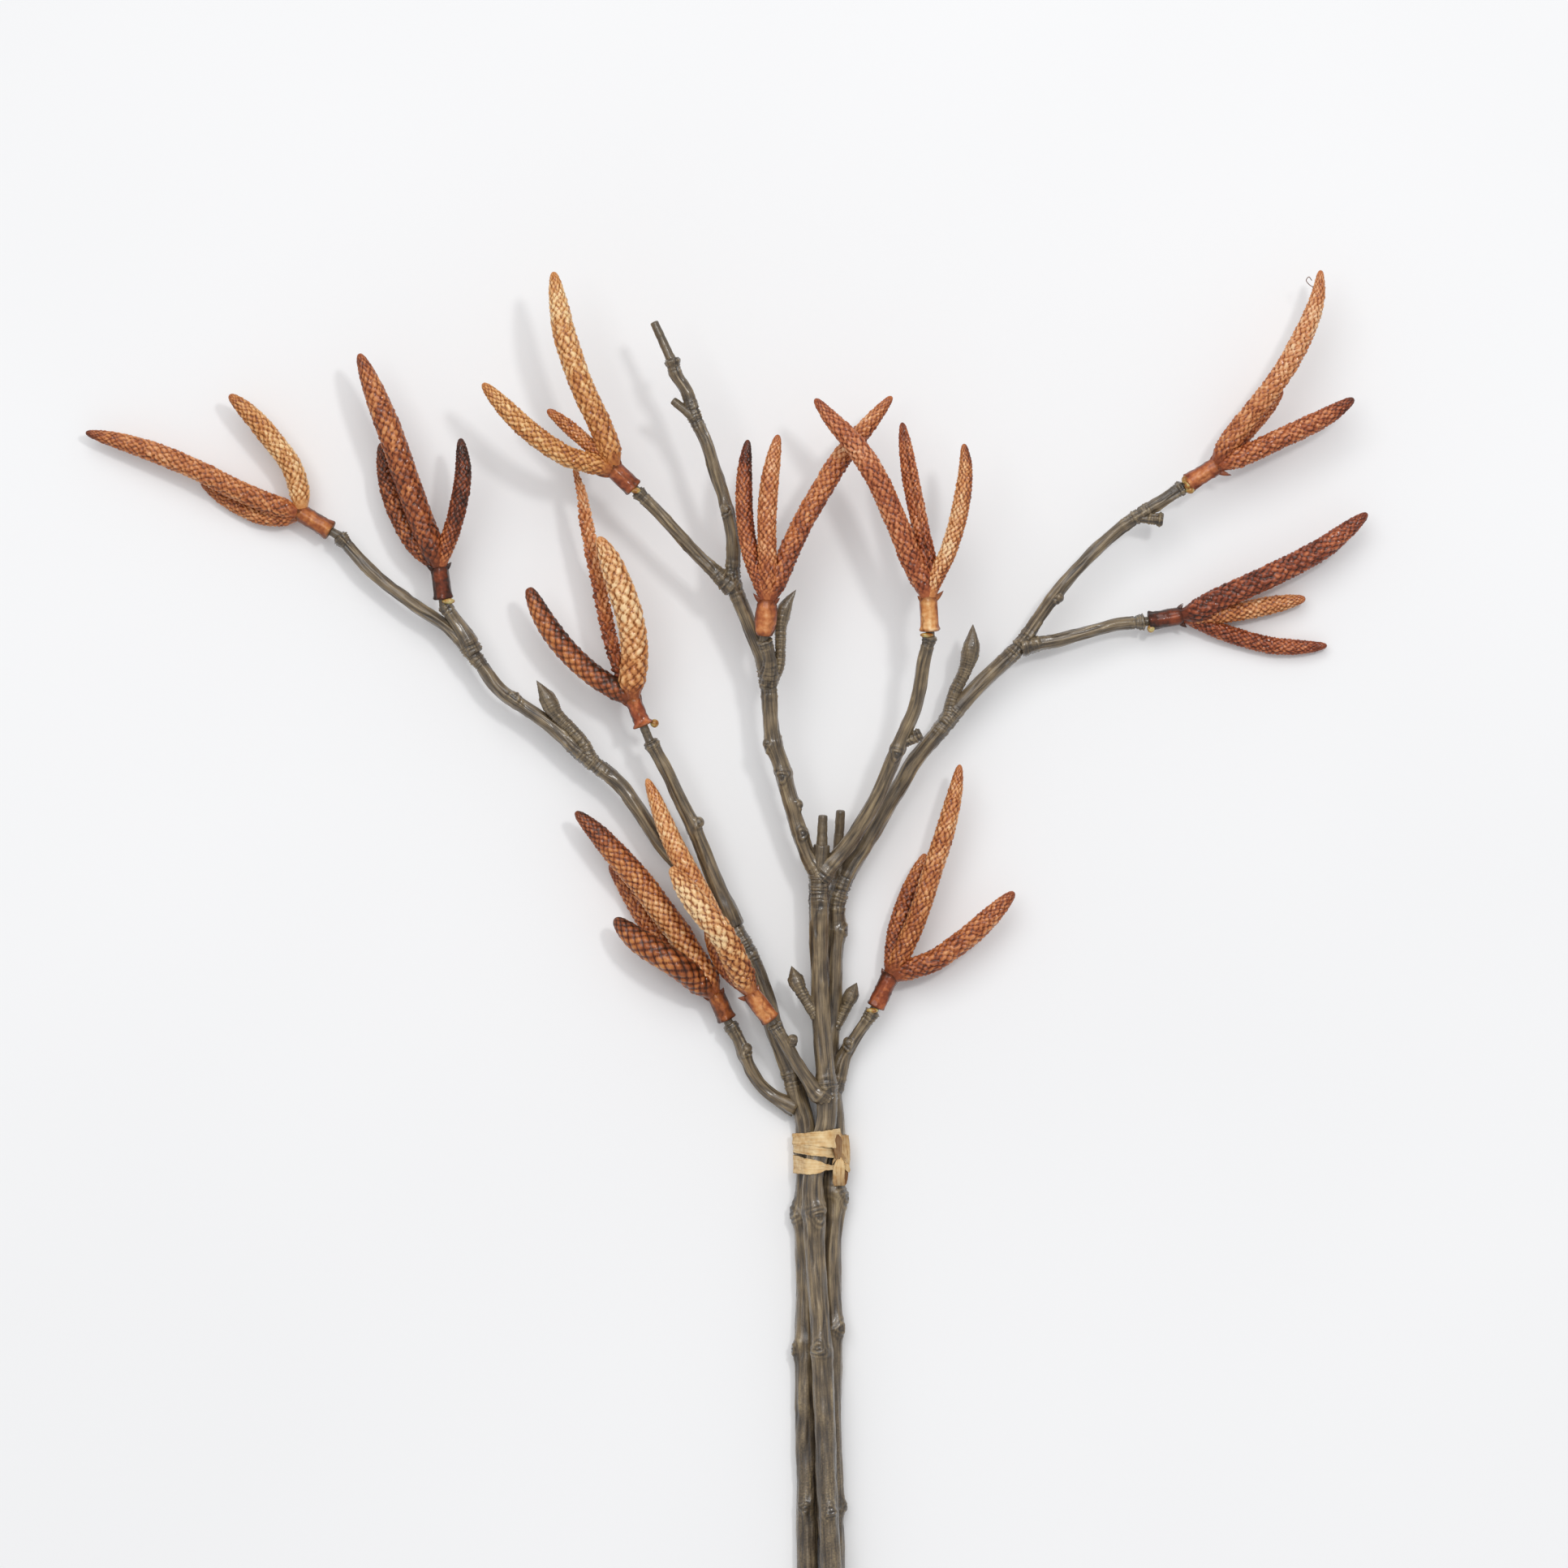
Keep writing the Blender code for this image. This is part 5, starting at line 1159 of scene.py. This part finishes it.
def cluster(letter, material):
    """A moulded cluster: its socket, three catkins grown out of its closed end, and bracts."""
    _, mouth, end, _ = SOCKETS[letter]
    looks = CATKIN_LOOKS[letter]
    seed = 7 * ord(letter)
    tubes = [socket_tube(mouth, end, looks["socket"], seed)]
    for step, (width, heights, route) in enumerate(CATKINS[letter]):
        line = catkin_line(mouth, end, heights, route)
        tubes.append(catkin_tube(line, width, looks["catkins"][step], seed + 11 * step))
    start, ahead, length = socket_axis(mouth, end)
    right = np.cross(ahead, UPRIGHT)
    paint = looks["socket"]
    for angle, reach in looks["bracts"]:
        aside = right * np.sin(angle) + UPRIGHT * np.cos(angle)
        root = start + ahead * (length - 1.6) + aside * 2.2
        tubes.append(bract_tube(root, ahead, aside, reach, paint["tone"] + 0.15, paint["red"]))
    piece = skin_mesh("scaly_catkins_" + letter, tubes, material)
    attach(piece, "root")
    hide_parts("catkins_" + letter)
    return piece


golden_vinyl = catkin_vinyl("catkin_vinyl_golden", ("#925018", "#301a09"), 0.36)
orange_vinyl = catkin_vinyl("catkin_vinyl_orange", ("#843c12", "#2e1609"), 0.34)
rusty_vinyl = catkin_vinyl("catkin_vinyl_rust", ("#763412", "#2a1308"), 0.36)
for letter in "ace":
    cluster(letter, golden_vinyl)
for letter in "film":
    cluster(letter, orange_vinyl)
for letter in "bgjk":
    cluster(letter, rusty_vinyl)


# Hot glue and a stray thread
#
# Beads of amber hot-melt glue squeezed out at some of the socket mouths when the clusters were
# pushed on, and one thin curled hair of vinyl that the mould left at the tip of a catkin.

BEAD_ROWS = 15
BEAD_COLUMNS = 24
THREAD_COLUMNS = 8
THREAD_RADIUS = 0.16
# Each bead: its middle, and its half-size across, along and above the bunch
GLUE_BEADS = [
    ((-65.7, 169.2, 24.4), (1.7, 1.7, 1.7)), ((-147.0, 217.4, 20.4), (2.6, 1.2, 1.9)),
    ((145.4, 261.2, 19.4), (1.8, 1.5, 1.9)), ((144.4, 263.0, 20.6), (1.3, 1.7, 1.7)),
    ((143.3, 265.2, 20.2), (1.3, 1.6, 1.6)), ((130.2, 206.6, 11.0), (1.5, 1.6, 1.5)),
    ((41.4, 203.8, 42.2), (2.7, 1.0, 1.7)), ((20.2, 55.9, 12.6), (2.4, 1.1, 1.8)),
    ((-73.0, 260.6, 40.6), (2.0, 1.2, 1.4)),
]
# The thread's middle line
THREAD = [
    (193.8, 341.0, 24.6), (192.0, 342.2, 25.4), (191.0, 343.8, 26.0), (192.0, 345.0, 26.2),
    (193.2, 343.6, 26.0),
]


def glue_bead(middle, half, seed):
    """A blob of glue: a ball squeezed to its three half-sizes, with a slow wave over it."""
    middle, half = np.array(middle), np.array(half)
    share = np.linspace(0.06, 0.94, BEAD_ROWS)[:, None] * np.pi
    turn = turns(BEAD_COLUMNS)
    reach = np.sin(share) * (1 + 0.07 * np.cos(3 * turn + seed) * np.sin(2 * share))
    ball = half * stacked(reach * np.sin(turn), reach * np.cos(turn), -np.cos(share))
    return {
        "rings": middle + ball, "skin": ball, "values": {},
        "first": middle - half * UPRIGHT, "last": middle + half * UPRIGHT,
    }


def hot_melt_glue():
    """Cured hot-melt glue: cloudy amber, see-through at its edges, with a wet gloss."""
    material = bare_material("hot_melt_glue")
    # Clouds about 2.5 mm across, in object space, which is in metres
    cloud = noise(material, add(material, "TexCoord").outputs["Object"], 400.0, 2.0)
    return shaded(material, {
        "Base Color": painted(material, cloud, [
            (0.35, "#8f5a26"), (0.5, "#b08644"), (0.65, "#c4b57a")]),
        "Roughness": 0.14, "IOR": 1.48, "Normal": bumps(material, cloud, 0.25, 0.0004),
        "Subsurface Weight": 0.35, "Subsurface Scale": 0.002})


beads = skin_mesh(
    "glue_beads", [glue_bead(*bead, step) for step, bead in enumerate(GLUE_BEADS)],
    hot_melt_glue())
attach(beads, "root")

thread_path = along(THREAD, spaced(route_length(THREAD)[-1], lambda s: 0.2 + 0 * s))
thread_radii = np.full((len(thread_path), THREAD_COLUMNS), THREAD_RADIUS)
thread = skin_mesh(
    "stray_thread", [tube(thread_path, thread_radii, {"tone": 0.85, "groove": 0.3})],
    orange_vinyl)
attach(thread, "root")

# Raffia tie
#
# One flat strip of split raffia palm leaf, pale straw, wound three times round the stems, and
# knotted at the right with folds, a crossing strip and a short loop. It has crisp edges and a
# few lengthwise creases. Where a strip lies in shadow, under the stems and in the knot, it is
# painted browner as painted shade, and it is a little browner in its creases and at its edges.

RAFFIA_THICK = 0.35
RAFFIA_COLUMNS = 30
LOWER_STEM_HEIGHT = 5.5
TIE_REACH = 4.85
# The winding: laps round the stems, middle along the bunch, half-width, lift and brownness, which
# is painted shade where the strip lies in shadow.
# A lap starts under the left stem and goes under, up the right side, over the top and down.
WINDING = [
    (0.20, 5.0, 2.0, 0.0, 0.3), (0.38, 4.6, 2.0, 0.0, 0.3), (0.41, 5.0, 2.6, 0.2, 0.2),
    (0.43, 5.5, 4.0, 0.5, 0.0), (0.50, 5.4, 3.8, 0.6, 0.0), (0.60, 5.3, 3.2, 0.6, 0.0),
    (0.74, 5.1, 2.4, 0.5, 0.0), (0.876, 5.15, 2.05, 0.4, 0.1), (1.0, 3.0, 2.2, 0.1, 0.2),
    (1.25, 0.6, 2.0, 0.0, 0.3), (1.40, -0.3, 1.9, 0.1, 0.2), (1.50, -0.2, 2.0, 0.2, 0.0),
    (1.60, 0.45, 1.95, 0.2, 0.0), (1.876, 1.6, 1.8, 0.0, 0.1), (2.0, -1.2, 2.2, 0.35, 0.2),
    (2.25, -3.5, 1.5, 0.2, 0.3), (2.36, -5.0, 0.9, 0.1, 0.3), (2.47, -6.1, 0.9, 0.3, 0.1),
    (2.528, -5.8, 1.3, 0.3, 0.0), (2.57, -5.8, 2.5, 0.3, 0.0), (2.62, -5.7, 3.0, 0.3, 0.0),
    (2.74, -5.2, 3.4, 0.2, 0.0), (2.876, -4.85, 3.65, 0.0, 0.1), (3.0, -4.5, 2.8, 0.0, 0.2),
    (3.15, -3.5, 1.8, 0.1, 0.3), (3.25, -3.0, 1.5, 0.1, 0.3),
]
# The knot's strips: the way to their right edge, then middle points, half-widths and brownness,
# which is painted shade where a strip lies in shadow
INNER_FOLD = ((0.62, 0.0, -0.78), [
    (6.2, 6.9, 14.2, 1.3, 0.9), (6.4, 5.6, 14.4, 2.4, 0.85), (6.5, 2.0, 14.2, 2.5, 0.75),
    (6.7, -1.0, 13.7, 2.2, 0.7), (6.8, -2.6, 13.1, 1.6, 0.6)])
SIDE_FOLD = ((0.80, 0.05, -0.60), [
    (9.2, 6.5, 9.9, 2.0, 0.45), (9.4, 4.0, 10.4, 2.2, 0.40), (9.6, 0.0, 10.4, 2.2, 0.30),
    (10.0, -3.2, 10.0, 1.7, 0.25), (10.6, -5.6, 9.3, 0.8, 0.3)])
KNOT_CROSSING = ((0.15, 0.97, 0.10), [
    (4.4, -4.2, 13.6, 0.8, 0.3), (6.0, -2.0, 13.2, 1.1, 0.35), (8.0, -1.6, 11.9, 1.1, 0.5),
    (9.8, -3.4, 10.2, 0.8, 0.4)])
LOW_LOOP = ((0.93, 0.0, -0.36), [
    (7.3, -2.2, 12.6, 0.7, 0.0), (7.2, -4.2, 13.0, 1.9, 0.0), (7.0, -6.6, 12.8, 2.5, 0.05),
    (6.9, -9.6, 12.1, 2.5, 0.30), (7.0, -12.4, 11.2, 2.5, 0.45), (7.2, -13.3, 10.4, 2.4, 0.35),
    (7.8, -12.4, 9.8, 2.4, 0.8), (8.7, -9.4, 9.6, 2.1, 0.9), (9.3, -6.4, 9.4, 1.3, 0.7)])
LOOSE_END = ((0.35, 0.90, 0.0), [
    (8.8, -5.0, 10.9, 1.0, 0.1), (10.3, -6.2, 10.3, 1.2, 0.0), (11.2, -7.6, 9.4, 0.7, 0.15)])


def split_raffia():
    """Dry split raffia: pale straw with fine darker lines along it and a faint sheen."""
    material = bare_material("split_raffia")
    skin = attribute(material, "skin", "Vector")
    # Across the strip a line is about 0.4 mm; along it the same line runs for some 25 mm
    lines_at = add(material, "Mapping", {"Vector": skin, "Scale": (2.4, 2.4, 0.04)})
    lines = noise(material, lines_at.outputs[0], 1.0, 3.0, 0.6)
    patches = noise(material, skin, 0.35)
    blend = add(material, "Mix", {0: 0.5, 2: lines, 3: patches}, data_type="FLOAT")
    straw = painted(material, blend.outputs[0], [
        (0.34, "#c08f55"), (0.44, "#d6b07a"), (0.54, "#e4c593"), (0.66, "#eed6a8")])
    return shaded(material, {
        # The brown mixed in is painted shade where a strip lies in shadow, and a little in creases
        # and at edges
        "Base Color": mixed(material, attribute(material, "painted_shade_and_brown"), straw, linear("#6e3f18")),
        "Roughness": 0.5, "IOR": 1.45, "Specular IOR Level": 0.3,
        "Normal": bumps(material, lines, 0.35, 0.0003)})


def stem_centre(route, place):
    """Where a stem's middle line crosses a plane across the bunch: across and up."""
    line = along(route, np.linspace(0, route_length(route)[-1], 500))
    return np.array([
        np.interp(place, line[:, 1], line[:, 0]), np.interp(place, line[:, 1], line[:, 2])])


def hull_round_stems(laps, place, lift):
    """Points on the outline of a band pulled tight round the three stems, by laps round it.

    In each direction the outline reaches as far as the outermost stem plus the reach. The
    middle stem runs aslant, so its own middle is taken where the band is, along the bunch.
    """
    left, right = stem_centre(LEFT_MAIN, 0.0)[0], stem_centre(RIGHT_MAIN, 0.0)[0]
    centres = np.array([
        [left, LOWER_STEM_HEIGHT], [right, LOWER_STEM_HEIGHT], stem_centre(MIDDLE_MAIN, 0.0)])
    angle = np.linspace(0, 2 * np.pi, 1441) - np.pi / 2
    ways = np.column_stack([np.cos(angle), np.sin(angle)])
    outermost = (ways @ centres.T).argmax(axis=1)
    outline = centres[outermost] + TIE_REACH * ways
    at = route_length(outline)
    where = laps % 1 * at[-1]
    way = np.column_stack([np.interp(where, at, values) for values in ways.T])
    share = np.column_stack([np.interp(where, at, outermost == stem) for stem in range(3)])
    own = share[:, :2] @ centres[:2] + share[:, 2:] * stem_centre(MIDDLE_MAIN, place).T
    return own + (TIE_REACH + lift)[:, None] * way


def raffia_band(middle, side, half, brown, seed):
    """A strip of raffia along a middle line: flat, with crisp edges, and creased lengthwise.

    A section runs from the right edge under the strip and back over it. The creases are a slow
    cosine across the strip and two narrow folds, which wander along it.
    """
    under = unit(np.cross(unit(np.gradient(middle, axis=0)), side))
    s = route_length(middle)[:, None]
    turn = turns(RAFFIA_COLUMNS)
    across = np.sign(np.cos(turn)) * np.abs(np.cos(turn)) ** 0.8
    down = np.sign(np.sin(turn)) * np.abs(np.sin(turn)) ** 0.35
    half = half[:, None] * (1 + 0.03 * waves(s, seed, 9)) + 0.06 * waves(s, seed + 1, 3)
    bend = 0.10 * np.cos(2.6 * across + seed + 0.8 * waves(s, seed + 2, 30))
    creases = sum(
        np.exp(-((across - place - 0.12 * waves(s, seed + step, 25)) * half / 0.16) ** 2)
        for step, place in ((3, -0.35), (4, 0.30)))
    drop = RAFFIA_THICK / 2 * down - bend + 0.12 * creases
    rings = middle[:, None] + (half * across)[..., None] * side[:, None] + (
        drop[..., None] * under[:, None])
    # It is painted browner as painted shade where the strip lies in shadow, and browner in its
    # creases and at its edges
    painted_shade_and_brown = brown[:, None] + 0.30 * creases + 0.22 * np.abs(across) ** 10
    return {
        "rings": rings, "skin": stacked(half * across, 0.3 * down, s),
        "values": {"painted_shade_and_brown": np.clip(painted_shade_and_brown, 0, 0.9)}, "first": middle[0], "last": middle[-1],
    }


def winding_band():
    """The three laps round the stems as one long strip."""
    given = np.array(WINDING)
    laps = np.linspace(given[0, 0], given[-1, 0], 650)
    place, half, lift, brown = (np.interp(laps, given[:, 0], column) for column in given.T[1:])
    outline = hull_round_stems(laps, place, lift)
    middle = np.column_stack([outline[:, 0], place, outline[:, 1]])
    side = np.tile([0.0, 1.0, 0.0], (len(laps), 1))
    return raffia_band(middle, side, half, brown, 3)


def knot_band(side, route, seed):
    """One strip of the knot, with its width and brownness read along its middle line."""
    line = along(route, np.linspace(0, route_length(route)[-1], 60))
    side = np.tile(unit(np.array(side)), (len(line), 1))
    return raffia_band(line[:, :3], side, line[:, 3], line[:, 4], seed)


tie = skin_mesh(
    "raffia_strips",
    [winding_band(), knot_band(*INNER_FOLD, 15), knot_band(*SIDE_FOLD, 11),
     knot_band(*KNOT_CROSSING, 12), knot_band(*LOW_LOOP, 13), knot_band(*LOOSE_END, 14)],
    split_raffia())
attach(tie, "root")
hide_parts("raffia_tie")

# Studio
#
# A pale matt floor, a bright even sky, a very large soft light from beyond the catkins and a
# small one nearer by for the glints. The camera is high above and looks straight down, so that
# the bunch is seen as in the photograph.

FRAME_MIDDLE = (-0.0147, 0.1453)
FRAME_WIDTH = 0.6182
CAMERA_HEIGHT = 6.0
FRAME_HEIGHT = 0.02
SENSOR = 36
SKY_STRENGTH = 0.50
AIM = (0, 0.15, 0)
# Each light: its name, place, side and power
LIGHTS = [("softbox", (-0.9, 2.6, 5.4), 5.0, 190), ("key_light", (0.9, 1.0, 2.9), 0.28, 17)]


def studio_floor():
    """Matt white paper: even, with a very faint mottle."""
    material = bare_material("studio_floor_paper")
    mottle = noise(material, add(material, "TexCoord").outputs["Object"], 3.0, 2.0)
    return shaded(material, {
        "Base Color": painted(material, mottle, [(0.3, "#f1f1f1"), (0.7, "#f4f4f4")]),
        "Roughness": 0.9, "Specular IOR Level": 0.1})


floor_mesh = bpy.data.meshes.new("floor")
floor_mesh.from_pydata([(-4, -4, 0), (4, -4, 0), (4, 4, 0), (-4, 4, 0)], [], [(0, 1, 2, 3)])
floor_mesh.materials.append(studio_floor())
floor = bpy.data.objects.new("floor", floor_mesh)
bpy.context.scene.collection.objects.link(floor)

sky = bpy.data.worlds.new("soft_sky")
sky.use_nodes = True
sky.node_tree.nodes["Background"].inputs["Color"].default_value = linear("#fbfcff")
sky.node_tree.nodes["Background"].inputs["Strength"].default_value = SKY_STRENGTH
bpy.context.scene.world = sky

for name, place, size, power in LIGHTS:
    light = bpy.data.lights.new(name, "AREA")
    light.size = size
    light.energy = power
    holder = bpy.data.objects.new(name, light)
    holder.location = place
    holder.rotation_euler = (
        Vector(AIM) - holder.location).to_track_quat("-Z", "Y").to_euler()
    bpy.context.scene.collection.objects.link(holder)

lens = bpy.data.cameras.new("camera")
lens.sensor_width = SENSOR
# The frame's width is measured at about the middle of the bunch's height
lens.lens = SENSOR * (CAMERA_HEIGHT - FRAME_HEIGHT) / FRAME_WIDTH
lens.clip_end = 20
camera = bpy.data.objects.new("camera", lens)
camera.location = (*FRAME_MIDDLE, CAMERA_HEIGHT)
bpy.context.scene.collection.objects.link(camera)
bpy.context.scene.camera = camera
bpy.context.scene.view_settings.view_transform = "Standard"
